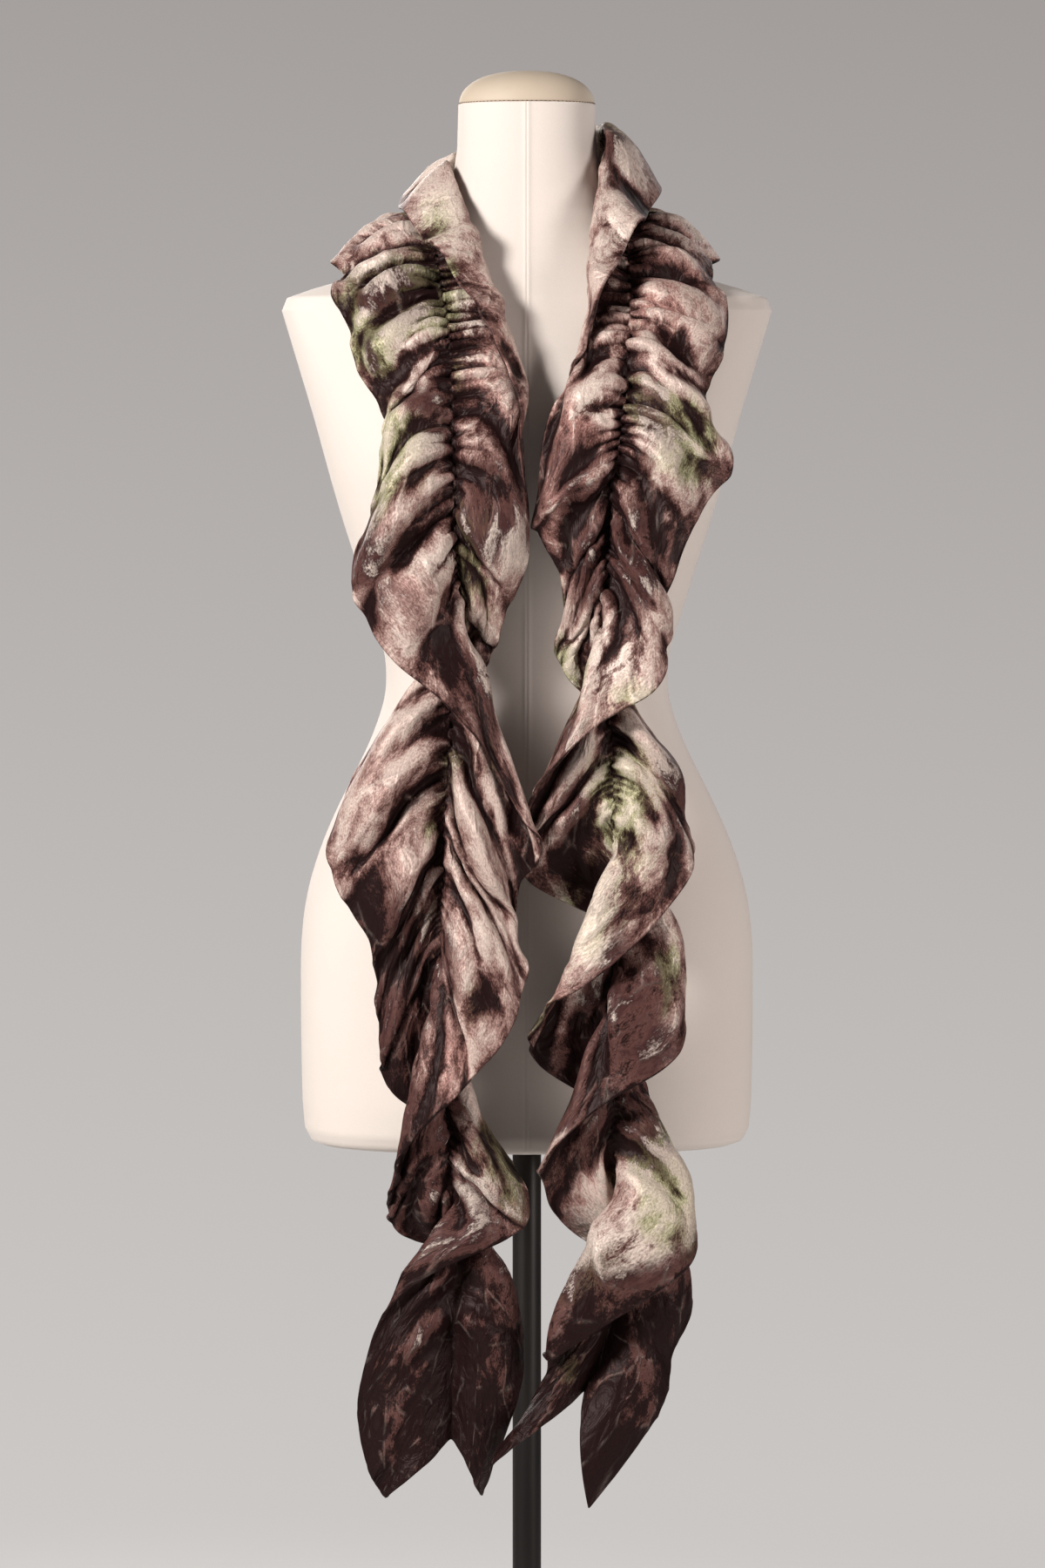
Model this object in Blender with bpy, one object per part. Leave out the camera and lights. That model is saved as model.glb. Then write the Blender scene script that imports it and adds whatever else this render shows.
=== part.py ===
"""A ruched velvet scarf on a limbless dress form. Tables and sizes are in millimetres, +Z up.

The scarf is one long double-layer band of velvet, gathered along its middle. The gathered line
(the spine) hangs in front, goes up over one shoulder, round the back of the neck and down again.
On each side of it stands a wing of cloth: the inner wing faces the neck, the outer wing faces
the shoulder. The wings' free edges are about a third longer than the spine, so they ruffle, roll
over at the collar and wind round the spine lower down. Left and right are the viewer's.
The form stands on a pole and a round plate. The origin is under the middle of the plate.
"""

import math

import bmesh
import bpy
import numpy as np

MM = 0.001

# ---------------------------------------------------------------- the scarf's driving sizes
CLOTH_WALL = 2.4
SEAM_GAP = 0.3  # between solids that meet
CLOTH_SEAM = 0.5  # between two stretches of the cloth
CLOTH_CLEARANCE = 5.4  # from the form's surface to the middle of the wall
GATHER_STEP = 6.8  # from the top of a gather to the bottom beside it
GATHER_HEIGHT = 2.7
GATHER_FADE = 0.28  # share of a wing's width over which the gathers die away
FOLD_HEIGHT = 4.2
FOLD_LENGTH = 31.0
FOLD_RIPPLE = 2.1  # how far out of step the two wings' folds are, in radians
FOLD_DRIFTS = ((1.4, 53.0), (0.9, 29.0))  # radians and mm: what makes the folds uneven
RUFFLE_HEIGHT = 4.5
RUFFLE_LENGTH = 67.0
RUFFLE_FROM = 0.35  # share of a wing's width where its ruffles begin
RUFFLE_DRIFT = (1.3, 71.0)
STILL_TURN = 1.2  # degrees a millimetre: a wing that turns faster is taut and has no folds
SMOOTHING = 10.0  # mm over which a table's rows are rounded into each other
FRONT_EASE = 0.46  # how much of its reach a wing keeps where it points at the viewer
BACK_EASE = 0.34  # and where it points at the form
SPINE_SINK = 15.0  # how far the wings stand up on both sides of the gathered line
RIB_NEAR = (0.40, 0.04)  # shares of the reach and the drop at a rib's inner control point
RIB_FAR = (0.76, 0.50)  # and at its outer one
ROLL_PUFF = 17.0  # half the width of the collar's rounded top
END_STRAIGHT = 110.0  # the last stretch, where the band is plain and flat
END_GATHERS = (140.0, 230.0)  # from an end: where the gathers begin, and where they are full
FOLD_TAIL = 1.2  # how far past the free edge a large fold would run, in wing widths
ACROSS = (0.0, 0.10, 0.27, 0.50, 0.76, 1.0)  # the shares of a wing's width that have points

# ---------------------------------------------------------------- the form's and stand's sizes
NECK_TOP = 1534.0
CAP_HEIGHT = 26.0
CAP_RADIUS = 52.6
CAP_RINGS = 6
CAP_FULLNESS = 0.8
POLE_RADIUS = 11.2
POLE_SIDES = 24
BASE_RADIUS = 194.0
BASE_THICKNESS = 7.0
BASE_BEVEL = 2.0
BASE_SIDES = 48
FORM_SIDES = 28
FORM_SQUARENESS = 2.25  # 2 is an ellipse, more is squarer
BUST = dict(height=1258.0, apart=76.0, swell=15.0, spread=48.0, facing=1.6)

# The form's level sections: height, half width, depth before and behind the pole's axis.
FORM_COLUMNS = ("height", "half_width", "front", "back")
FORM_SECTIONS = [
    (725, 160, 94, 97),
    (728, 168, 101, 104),
    (737, 173, 105, 108),
    (760, 175, 106, 110),
    (820, 176, 106, 111),
    (876, 176, 105, 109),
    (904, 174, 104, 107),
    (930, 169, 102, 103),
    (958, 160, 99, 97),
    (984, 149, 96, 91),
    (1010, 136, 93, 86),
    (1040, 121, 91, 81),
    (1074, 109, 90, 77),
    (1106, 109, 93, 77),
    (1142, 121, 98, 81),
    (1175, 131, 102, 86),
    (1212, 143, 106, 91),
    (1250, 154, 106, 95),
    (1291, 165, 102, 98),
    (1344, 181, 92, 98),
    (1374, 190, 82, 94),
    (1384, 186, 78, 92),
    (1391, 166, 74, 90),
    (1399, 138, 70, 87),
    (1410, 111, 65, 82),
    (1422, 90, 59, 76),
    (1436, 75, 54, 70),
    (1452, 65, 50, 65),
    (1472, 57.5, 47, 60),
    (1500, 53.5, 45, 57),
    (1534, 52.6, 44, 56),
]

# ---------------------------------------------------------------- the gathered line
SPINE_COLUMNS = ("x", "y", "z")
LEFT_SPINE = [
    (-43, -146, 515),
    (-54, -147, 640),
    (-54, -148, 700),
    (-69, -148, 800),
    (-62, -148, 920),
    (-58, -148, 1040),
    (-54, -147, 1150),
    (-54, -146, 1237),
    (-56, -140, 1272),
    (-58, -128, 1312),
    (-60, -109, 1354),
    (-65, -80, 1391),
]
NECK_SPINE = [
    (-71, -44, 1424),
    (-84, -6, 1444),
    (-83, 40, 1447),
    (-54, 80, 1443),
    (0, 96, 1440),
    (54, 80, 1445),
    (83, 40, 1450),
    (85, -6, 1446),
    (74, -44, 1422),
]
RIGHT_SPINE = [
    (80, -80, 1388),
    (77, -108, 1354),
    (74, -128, 1312),
    (68, -141, 1270),
    (60, -147, 1217),
    (56, -148, 1140),
    (65, -148, 1040),
    (67, -148, 960),
    (63, -148, 830),
    (66, -147, 745),
    (72, -147, 650),
    (66, -146, 600),
    (57, -146, 550),
]

# ---------------------------------------------------------------- the wings, a row for each fold
# at: the spine's height where the fold starts. turn: 0 to the right, 90 back, 180 left, 270 or
# -90 to the front, counted on past a whole turn. reach and drop: the free edge from the spine.
WING_COLUMNS = ("at", "turn", "reach", "drop")
LEFT_OUTER = [
    (515, 40, 30, 46),
    (560, 12, 36, 50),
    (600, -18, 54, 42),
    (640, 4, 50, 45),
    (672, 55, 33, 30),
    (700, 112, 38, 38),
    (741, 170, 46, 62),
    (774, 196, 47, 86),
    (807, 228, 58, 88),
    (840, 254, 78, 86),
    (873, 275, 82, 92),
    (907, 297, 84, 99),
    (940, 312, 80, 101),
    (973, 334, 74, 104),
    (1006, 346, 58, 112),
    (1039, 342, 54, 99),
    (1078, 326, 84, 105),
    (1115, 305, 82, 97),
    (1151, 273, 80, 82),
    (1184, 234, 76, 84),
    (1212, 204, 74, 67),
    (1237, 190, 76, 60),
    (1272, 184, 68, 54),
    (1307, 180, 61, 42),
    (1340, 174, 50, 34),
    (1366, 165, 70, 32),
    (1391, 157, 78, 22),
]
NECK_OUTER = [
    (168, 82, 14),
    (160, 84, 16),
    (146, 78, 30),
    (118, 70, 52),
    (90, 66, 60),
    (62, 70, 52),
    (38, 78, 28),
    (28, 76, 12),
    (22, 74, 6),
]
RIGHT_OUTER = [
    (1388, 18, 74, 14),
    (1360, 12, 70, 26),
    (1338, 5, 54, 32),
    (1314, 1, 76, 36),
    (1291, 0, 82, 44),
    (1267, -6, 68, 36),
    (1244, -20, 46, 58),
    (1217, -34, 46, 66),
    (1190, -30, 66, 80),
    (1164, -60, 76, 82),
    (1138, -90, 78, 78),
    (1108, -116, 74, 70),
    (1078, -145, 64, 60),
    (1045, -170, 68, 72),
    (1016, -195, 69, 74),
    (986, -250, 66, 75),
    (956, -310, 72, 74),
    (926, -350, 56, 72),
    (897, -394, 64, 70),
    (867, -434, 74, 74),
    (837, -470, 72, 76),
    (807, -508, 58, 78),
    (778, -546, 52, 70),
    (748, -598, 60, 72),
    (718, -650, 72, 76),
    (688, -692, 64, 62),
    (655, -738, 40, 66),
    (600, -744, 45, 54),
    (573, -766, 46, 60),
    (550, -810, 36, 90),
]
LEFT_INNER = [
    (515, -160, 52, 45),
    (560, -170, 62, 76),
    (600, -176, 75, 70),
    (640, -168, 70, 58),
    (672, -128, 42, 36),
    (700, -62, 40, 36),
    (741, -14, 62, 55),
    (774, 20, 71, 62),
    (807, 52, 72, 74),
    (840, 96, 60, 84),
    (873, 134, 62, 90),
    (907, 164, 53, 92),
    (940, 175, 50, 88),
    (973, 189, 58, 84),
    (1006, 185, 82, 80),
    (1039, 178, 86, 72),
    (1078, 160, 78, 62),
    (1115, 124, 82, 48),
    (1151, 52, 60, 52),
    (1184, 25, 46, 58),
    (1212, 20, 44, 52),
    (1237, -6, 56, 43),
    (1272, -5, 50, 35),
    (1307, 0, 40, 30),
]
RIGHT_INNER = [
    (1338, 192, 56, 16),
    (1312, 186, 71, 16),
    (1291, 186, 67, 28),
    (1267, 190, 63, 37),
    (1244, 194, 60, 36),
    (1217, 160, 34, 28),
    (1190, 158, 38, 55),
    (1164, 148, 50, 60),
    (1138, 122, 60, 56),
    (1108, 72, 70, 60),
    (1078, 40, 76, 62),
    (1045, 14, 67, 66),
    (1016, -15, 66, 68),
    (986, -56, 72, 72),
    (956, -92, 76, 74),
    (926, -128, 72, 74),
    (897, -160, 63, 66),
    (867, -196, 55, 66),
    (837, -260, 58, 66),
    (807, -310, 70, 68),
    (778, -345, 63, 72),
    (748, -374, 66, 76),
    (718, -414, 76, 76),
    (688, -454, 80, 76),
    (659, -488, 76, 70),
    (629, -524, 48, 46),
    (600, -545, 54, 50),
    (573, -538, 62, 54),
    (550, -532, 73, 60),
]

# ---------------------------------------------------------------- the rolled collar
# The inner wing stands up to a crest beside the neck and its free edge falls back outwards.
# Rows follow the spine from the left of the chest, round the neck, to the right of the chest.
# The rows round the neck belong to the neck's spine rows, so they leave out the height.
COLLAR_COLUMNS = ("at", "crest_x", "crest_y", "crest_z", "edge_x", "edge_y", "edge_z")
LEFT_COLLAR = [
    (1255, 0, -130, 1250, 6, -156, 1232),
    (1300, 4, -122, 1304, 0, -142, 1300),
    (1330, 0, -118, 1330, -12, -134, 1335),
    (1354, -12, -108, 1362, -30, -126, 1366),
    (1391, -27, -88, 1402, -52, -106, 1398),
]
NECK_COLLAR = [
    (-44, -64, 1448, -78, -80, 1430),
    (-60, -22, 1490, -96, -28, 1456),
    (-61, 32, 1502, -100, 44, 1464),
    (-42, 66, 1506, -70, 100, 1466),
    (0, 76, 1510, 0, 122, 1468),
    (42, 68, 1516, 70, 102, 1472),
    (61, 34, 1522, 100, 44, 1474),
    (61, -14, 1524, 98, -24, 1466),
    (51, -62, 1454, 80, -78, 1440),
]
RIGHT_COLLAR = [
    (1388, 40, -88, 1404, 58, -106, 1402),
    (1360, 31, -104, 1364, 42, -122, 1368),
    (1338, 26, -114, 1336, 30, -134, 1334),
    (1304, 8, -122, 1300, 8, -146, 1284),
]
ROLL_ENDS = dict(left_from=1244, left_full=1318, right_full=1372, right_from=1308)

# ---------------------------------------------------------------- the largest folds
# Where the cloth doubles over itself. side: -1 left, 1 right. wing: -1 outer, 1 inner.
# height and lean: how far the fold stands out and how far it hangs over the cloth below it.
FOLD_COLUMNS = ("side", "wing", "at", "height", "lean", "width")
LARGE_FOLDS = [
    (-1, -1, 1362, 9, 8, 13),
    (-1, -1, 1236, 14, 16, 17),
    (-1, 1, 1222, 9, 14, 13),
    (-1, -1, 1040, 8, 10, 16),
    (-1, 1, 1020, 8, 10, 16),
    (1, -1, 1352, 9, 10, 12),
    (1, -1, 1300, 8, 10, 11),
    (1, -1, 1272, 9, 12, 13),
    (1, -1, 1236, 10, 14, 14),
    (1, 1, 1262, 10, 16, 15),
]

# ---------------------------------------------------------------- stretches, each one node
# The spine's height where one stretch ends and the next begins.
LEFT_CUTS = dict(end=690, lower=1092, upper=1405)
RIGHT_CUTS = dict(upper=1405, lower=1092, end=680)

# ---------------------------------------------------------------- colours (linear) and finish
DARK_PLUM = (0.058, 0.030, 0.034)
PLUM = (0.130, 0.075, 0.078)
MAUVE = (0.270, 0.195, 0.185)
FORM_CLOTH = (0.78, 0.71, 0.65)
CAP_CLOTH = (0.80, 0.72, 0.58)
POLE_METAL = (0.055, 0.050, 0.048)


def columns_of(rows, names):
    """Turn a table's rows into one array for each named column."""
    table = np.array(rows, dtype=float)
    return {name: table[:, i] for i, name in enumerate(names)}


FORM = columns_of(FORM_SECTIONS, FORM_COLUMNS)


def form_radius(angle, height):
    """Distance of the form's surface from its axis, at an angle and a height."""
    wide = np.interp(height, FORM["height"], FORM["half_width"])
    front = np.interp(height, FORM["height"], FORM["front"])
    back = np.interp(height, FORM["height"], FORM["back"])
    deep = np.where(np.sin(angle) < 0, front, back)
    across = np.abs(np.cos(angle)) / wide
    along = np.abs(np.sin(angle)) / deep
    radius = (across**FORM_SQUARENESS + along**FORM_SQUARENESS) ** (-1 / FORM_SQUARENESS)
    side = np.abs(radius * np.cos(angle)) - BUST["apart"]
    rise = height - BUST["height"]
    swell = BUST["swell"] * np.exp(-(side**2 + rise**2) / (2 * BUST["spread"] ** 2))
    return radius + swell * np.clip(-BUST["facing"] * np.sin(angle), 0, 1)


def keep_off_form(points, clearance):
    """Move points that are too near the form straight out from its surface."""
    points = points.copy()
    for _ in range(6):
        angle = np.arctan2(points[..., 1], points[..., 0])
        radial = np.hypot(points[..., 0], points[..., 1])
        surface = form_radius(angle, points[..., 2])
        slope = (
            form_radius(angle, points[..., 2] + 3) - form_radius(angle, points[..., 2] - 3)
        ) / 6
        level = 1 / np.sqrt(1 + slope**2)
        lack = np.clip(clearance - (radial - surface) * level, 0, 25)
        lack = np.where(points[..., 2] > NECK_TOP, 0, lack)
        points[..., 0] += lack * level * np.cos(angle)
        points[..., 1] += lack * level * np.sin(angle)
        points[..., 2] -= lack * level * slope
    return points


def form_facing(points):
    """The way the form's surface faces nearest to each point."""
    angle = np.arctan2(points[..., 1], points[..., 0])
    above = form_radius(angle, points[..., 2] + 12)
    slope = (above - form_radius(angle, points[..., 2] - 12)) / 24
    level = 1 / np.sqrt(1 + slope**2)
    return np.stack([level * np.cos(angle), level * np.sin(angle), -level * slope], axis=-1)


def softened(values):
    """Round off the corners between a table's rows. One value stands for each millimetre."""
    reach = int(3 * SMOOTHING)
    window = np.exp(-0.5 * (np.arange(-reach, reach + 1) / SMOOTHING) ** 2)
    window /= window.sum()
    padded = np.pad(values, reach, mode="reflect", reflect_type="odd")
    return np.convolve(padded, window, mode="valid")


class Band:
    """The whole scarf as a surface: a place along its spine and a place across it."""

    def __init__(self):
        knots = np.array(LEFT_SPINE + NECK_SPINE + RIGHT_SPINE, dtype=float)
        steps = np.linalg.norm(np.diff(knots, axis=0), axis=1)
        self.knots_at = np.concatenate([[0], np.cumsum(steps)])
        self.length = self.knots_at[-1]
        self.neck_knots = self.knots_at[len(LEFT_SPINE) : len(LEFT_SPINE) + len(NECK_SPINE)]
        self.knots = knots
        self.ruler = np.arange(0, self.length + 1)
        self.spine = self.spread(self.knots_at, knots, SPINE_COLUMNS)
        self.outer = self.wing(LEFT_OUTER, NECK_OUTER, RIGHT_OUTER, WING_COLUMNS)
        self.inner = self.wing(LEFT_INNER, [], RIGHT_INNER, WING_COLUMNS)
        self.collar = self.wing(LEFT_COLLAR, NECK_COLLAR, RIGHT_COLLAR, COLLAR_COLUMNS)
        self.roll = self.roll_share()
        self.outer_calm = self.calm(self.outer["turn"])
        self.inner_calm = self.calm(self.inner["turn"])

    def calm(self, turn):
        """1 where a wing lies still to one side, so that its spare length goes into folds."""
        still = np.exp(-np.abs(np.gradient(turn)) / STILL_TURN)
        return softened(still * np.cos(np.radians(turn)) ** 2)

    def place(self, height, left):
        """How far along the spine it passes a height, on the left or the right."""
        half = self.length / 2
        side = self.knots_at < half if left else self.knots_at > half
        where = self.knots_at[side]
        heights = self.knots[side, 2]
        rising = np.argsort(heights)
        return float(np.interp(height, heights[rising], where[rising]))

    def spread(self, places, rows, names):
        """Spread a table's columns over the whole spine, rounded between the rows."""
        columns = columns_of(rows, names)
        return {
            name: softened(np.interp(self.ruler, places, column))
            for name, column in columns.items()
        }

    def wing(self, left, neck, right, names):
        """Join the tables of the left side, the neck and the right side."""
        places = [self.place(row[0], True) for row in left]
        places += list(self.neck_knots[: len(neck)])
        places += [self.place(row[0], False) for row in right]
        rows = [row[1:] for row in left] + list(neck) + [row[1:] for row in right]
        return self.spread(places, rows, names[1:])

    def roll_share(self):
        """1 where the inner wing is rolled over as a collar, 0 where it hangs."""
        places = [
            self.place(ROLL_ENDS["left_from"], True),
            self.place(ROLL_ENDS["left_full"], True),
            self.place(ROLL_ENDS["right_full"], False),
            self.place(ROLL_ENDS["right_from"], False),
        ]
        return softened(np.interp(self.ruler, places, [0, 1, 1, 0]))

    def looseness(self, along):
        """0 at the band's flat ends, 1 where it is gathered."""
        from_end = np.minimum(along, self.length - along)
        return np.interp(from_end, END_GATHERS, (0, 1))

    def at(self, column, along):
        """A column's value at each place along the spine."""
        return np.interp(along, self.ruler, column)

    def point(self, table, along, names):
        """The point that three columns give at each place along the spine."""
        return np.stack([self.at(table[name], along) for name in names], axis=-1)

    def hanging_rib(self, root, wing, along, share):
        """A rib of a hanging wing leaves the spine level and bends down to its free edge."""
        turn = np.radians(self.at(wing["turn"], along))
        ease = np.where(np.sin(turn) < 0, FRONT_EASE, BACK_EASE)
        out = np.stack([np.cos(turn), np.sin(turn) * ease, 0 * turn], axis=-1)
        out = out * self.at(wing["reach"], along)[..., None]
        down = np.zeros_like(out)
        down[..., 2] = -self.at(wing["drop"], along)
        rise = SPINE_SINK * np.cos(turn) ** 4 * self.looseness(along)
        rise = rise[..., None] * form_facing(root)
        near = root + RIB_NEAR[0] * out + RIB_NEAR[1] * down + rise
        far = root + RIB_FAR[0] * out + RIB_FAR[1] * down + 0.5 * rise
        from_end = np.minimum(along, self.length - along)
        straight = np.clip(1 - from_end / END_STRAIGHT, 0, 1)[..., None]
        near += (root + (out + down) / 3 - near) * straight
        far += (root + (out + down) * 2 / 3 - far) * straight
        return bezier(root, near, far, root + out + down, share)

    def rolled_rib(self, root, along, share):
        """A rib of the collar goes up to the crest and falls back over itself."""
        crest = self.point(self.collar, along, ("crest_x", "crest_y", "crest_z"))
        edge = self.point(self.collar, along, ("edge_x", "edge_y", "edge_z"))
        middle = (8 * crest - root - edge) / 6
        away = edge - root
        away = away / np.maximum(np.linalg.norm(away, axis=-1, keepdims=True), 1.0)
        near = middle - ROLL_PUFF * away
        far = middle + ROLL_PUFF * away
        return bezier(root, near, far, edge, share)

    def smooth_surface(self, along, across):
        """The cloth without its gathers: across is -1 at the outer edge, 1 at the inner one."""
        along, across = np.broadcast_arrays(np.asarray(along, float), np.asarray(across, float))
        root = self.point(self.spine, along, SPINE_COLUMNS)
        share = np.abs(across)[..., None]
        outer = self.hanging_rib(root, self.outer, along, share)
        hanging = self.hanging_rib(root, self.inner, along, share)
        rolled = self.rolled_rib(root, along, share)
        inner = hanging + (rolled - hanging) * self.at(self.roll, along)[..., None]
        points = np.where(across[..., None] < 0, outer, inner)
        return keep_off_form(points, CLOTH_CLEARANCE)

    def normal(self, along, across, reach=GATHER_STEP):
        """The way the cloth faces."""
        down = self.smooth_surface(along + reach, across)
        down = down - self.smooth_surface(along - reach, across)
        over = self.smooth_surface(along, np.clip(across + 0.06, -1, 1))
        over = over - self.smooth_surface(along, np.clip(across - 0.06, -1, 1))
        facing = np.cross(down, over)
        size = np.linalg.norm(facing, axis=-1, keepdims=True)
        return facing / np.maximum(size, 1e-6)

    def waves(self, along, across):
        """Gathers beside the spine, fading outwards into fewer and wider folds and ruffles."""
        share = np.abs(across)
        inside = self.looseness(along)
        gather = np.cos(np.pi * along / GATHER_STEP) * GATHER_HEIGHT * inside
        gather = gather * np.exp(-((share / GATHER_FADE) ** 2))
        wing = np.where(across < 0, 0.0, 1.0)
        calm_outer = self.at(self.outer_calm, along)
        calm_inner = self.at(self.inner_calm, along) * (1 - self.at(self.roll, along))
        calm = np.where(across < 0, calm_outer, calm_inner)
        phase = 2 * np.pi * along / FOLD_LENGTH + FOLD_RIPPLE * wing
        for k, (size, length) in enumerate(FOLD_DRIFTS):
            phase = phase + size * np.sin(along / length + (k + 1) * wing)
        fold = np.sin(phase) * FOLD_HEIGHT * calm * inside * np.sin(np.pi * share**0.75) ** 2
        size, length = RUFFLE_DRIFT
        phase = 2 * np.pi * along / RUFFLE_LENGTH + size * np.sin(along / length)
        grow = np.clip((share - RUFFLE_FROM) / (1 - RUFFLE_FROM), 0, 1)
        ruffle = np.sin(phase + FOLD_RIPPLE * wing) * RUFFLE_HEIGHT * calm * grow
        return gather + fold + ruffle

    def large_folds(self, along, across):
        """How far the folds of the table stand out, and how far they lean, at each point."""
        out = np.zeros(np.shape(along))
        lean = np.zeros(np.shape(along))
        for row in LARGE_FOLDS:
            fold = dict(zip(FOLD_COLUMNS, row))
            middle = self.place(fold["at"], fold["side"] < 0)
            share = np.clip(across * fold["wing"], 0, 1)
            bump = np.exp(-(((along - middle) / fold["width"]) ** 2))
            bump = bump * np.sin(np.pi * share / FOLD_TAIL) ** 1.5
            out = out + fold["height"] * bump
            lean = lean + fold["lean"] * bump * fold["side"]
        return out, lean

    def surface(self, along, across):
        along, across = np.broadcast_arrays(np.asarray(along, float), np.asarray(across, float))
        out, lean = self.large_folds(along, across)
        facing = self.normal(along + lean, across, GATHER_STEP)
        points = self.smooth_surface(along + lean, across)
        towards_front = np.where(facing[..., 1:2] > 0, -facing, facing)
        points = points + facing * self.waves(along, across)[..., None]
        points = points + towards_front * out[..., None]
        return points, facing


def bezier(a, b, c, d, t):
    s = 1 - t
    return s**3 * a + 3 * s * s * t * b + 3 * s * t * t * c + t**3 * d


def clear_scene():
    for thing in list(bpy.data.objects):
        bpy.data.objects.remove(thing, do_unlink=True)


def material(name, colour, roughness, metallic):
    made = bpy.data.materials.new(name)
    made.use_nodes = True
    shader = made.node_tree.nodes["Principled BSDF"]
    shader.inputs["Base Color"].default_value = (*colour, 1.0)
    shader.inputs["Roughness"].default_value = roughness
    shader.inputs["Metallic"].default_value = metallic
    return made


def add_body(name, points, faces, look):
    """Make one closed body from points in millimetres, its faces turned outwards."""
    mesh = bpy.data.meshes.new(name)
    mesh.from_pydata([tuple(float(v) * MM for v in p) for p in points], [], faces)
    shape = bmesh.new()
    shape.from_mesh(mesh)
    bmesh.ops.recalc_face_normals(shape, faces=shape.faces[:])
    if shape.calc_volume(signed=True) < 0:
        bmesh.ops.reverse_faces(shape, faces=shape.faces[:])
    shape.to_mesh(mesh)
    shape.free()
    for face in mesh.polygons:
        face.use_smooth = True
    mesh.materials.append(look)
    body = bpy.data.objects.new(name, mesh)
    bpy.context.scene.collection.objects.link(body)
    return body


def seam_shift(row, facing):
    """Half the seam gap, in the cloth and at right angles to the row, towards the left end."""
    sideways = np.cross(facing, np.gradient(row, axis=0))
    return sideways / np.linalg.norm(sideways, axis=1, keepdims=True) * CLOTH_SEAM / 2


def add_cloth(name, band, start, stop, look):
    """A stretch of the band as a wall of the cloth's thickness."""
    first = math.ceil((start + 1) / GATHER_STEP)
    last = math.floor((stop - 1) / GATHER_STEP)
    along = [start] + [k * GATHER_STEP for k in range(first, last + 1)] + [stop]
    along = np.array(along)[:, None]
    across = np.array([-a for a in reversed(ACROSS[1:])] + list(ACROSS))[None, :]
    middle, facing = band.surface(along, across)
    rows, columns = middle.shape[:2]
    if start > 0:
        middle[0] -= seam_shift(middle[0], facing[0])
    if stop < band.length:
        middle[-1] += seam_shift(middle[-1], facing[-1])
    half = facing * CLOTH_WALL / 2
    points = np.concatenate([middle + half, middle - half]).reshape(-1, 3)
    count = rows * columns
    faces = []
    for i in range(rows - 1):
        for j in range(columns - 1):
            a = i * columns + j
            b, c, d = a + 1, a + columns + 1, a + columns
            faces.append((a, b, c, d))
            faces.append((count + a, count + d, count + c, count + b))
        left, right = i * columns, (i + 1) * columns - 1
        for a, b in ((left, left + columns), (right + columns, right)):
            faces.append((b, a, count + a, count + b))
    for j in range(columns - 1):
        low, high = j, (rows - 1) * columns + j
        faces += [(low, low + 1, count + low + 1), (low, count + low + 1, count + low)]
        faces += [(high + 1, high, count + high + 1), (high, count + high, count + high + 1)]
    return add_body(name, points, faces, look)


def add_lathe(name, rings, look):
    """Level rings of the same number of points, closed at both ends."""
    sides = len(rings[0])
    points = [p for ring in rings for p in ring]
    faces = []
    for k in range(len(rings) - 1):
        for i in range(sides):
            j = (i + 1) % sides
            faces.append((k * sides + i, k * sides + j, (k + 1) * sides + j, (k + 1) * sides + i))
    faces.append(tuple(reversed(range(sides))))
    top = (len(rings) - 1) * sides
    faces.append(tuple(range(top, top + sides)))
    return add_body(name, points, faces, look)


def circle(radius, height, sides):
    turns = [2 * math.pi * i / sides for i in range(sides)]
    return [(radius * math.cos(t), radius * math.sin(t), height) for t in turns]


def add_form(looks):
    turns = np.arange(FORM_SIDES) * 2 * np.pi / FORM_SIDES
    rings = []
    for height in FORM["height"]:
        radius = form_radius(turns, np.full(FORM_SIDES, height))
        rings.append(
            [(r * math.cos(t), r * math.sin(t), height) for r, t in zip(radius, turns)]
        )
    add_lathe("form_body", rings, looks["form"])


def add_cap(looks):
    foot = NECK_TOP + SEAM_GAP
    depth = form_radius(np.array([-np.pi / 2]), np.array([NECK_TOP]))[0]
    back = form_radius(np.array([np.pi / 2]), np.array([NECK_TOP]))[0]
    rings = []
    for k in range(CAP_RINGS):
        rise = k / CAP_RINGS * math.pi / 2
        grow = math.cos(rise) ** CAP_FULLNESS
        height = foot + (CAP_HEIGHT - SEAM_GAP) * math.sin(rise)
        ring = []
        for x, y, z in circle(CAP_RADIUS * grow, height, FORM_SIDES):
            deep = (depth if y < 0 else back) / CAP_RADIUS
            ring.append((x, y * deep, z))
        rings.append(ring)
    add_lathe("neck_cap", rings, looks["cap"])


def add_stand(looks):
    top = FORM["height"][0] - SEAM_GAP
    foot = BASE_THICKNESS + SEAM_GAP
    rings = [circle(POLE_RADIUS, height, POLE_SIDES) for height in (foot, top)]
    add_lathe("pole", rings, looks["pole"])
    rings = [
        circle(BASE_RADIUS, 0, BASE_SIDES),
        circle(BASE_RADIUS, BASE_THICKNESS - BASE_BEVEL, BASE_SIDES),
        circle(BASE_RADIUS - BASE_BEVEL, BASE_THICKNESS, BASE_SIDES),
    ]
    add_lathe("base_plate", rings, looks["base"])


def add_scarf(band, looks):
    stops = {
        "left_end": band.place(LEFT_CUTS["end"], True),
        "left_lower": band.place(LEFT_CUTS["lower"], True),
        "left_upper": band.place(LEFT_CUTS["upper"], True),
        "neck_wrap": band.place(RIGHT_CUTS["upper"], False),
        "right_upper": band.place(RIGHT_CUTS["lower"], False),
        "right_lower": band.place(RIGHT_CUTS["end"], False),
        "right_end": band.length,
    }
    start = 0.0
    for name, stop in stops.items():
        add_cloth(name, band, start, stop, looks[name])
        start = stop


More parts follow.
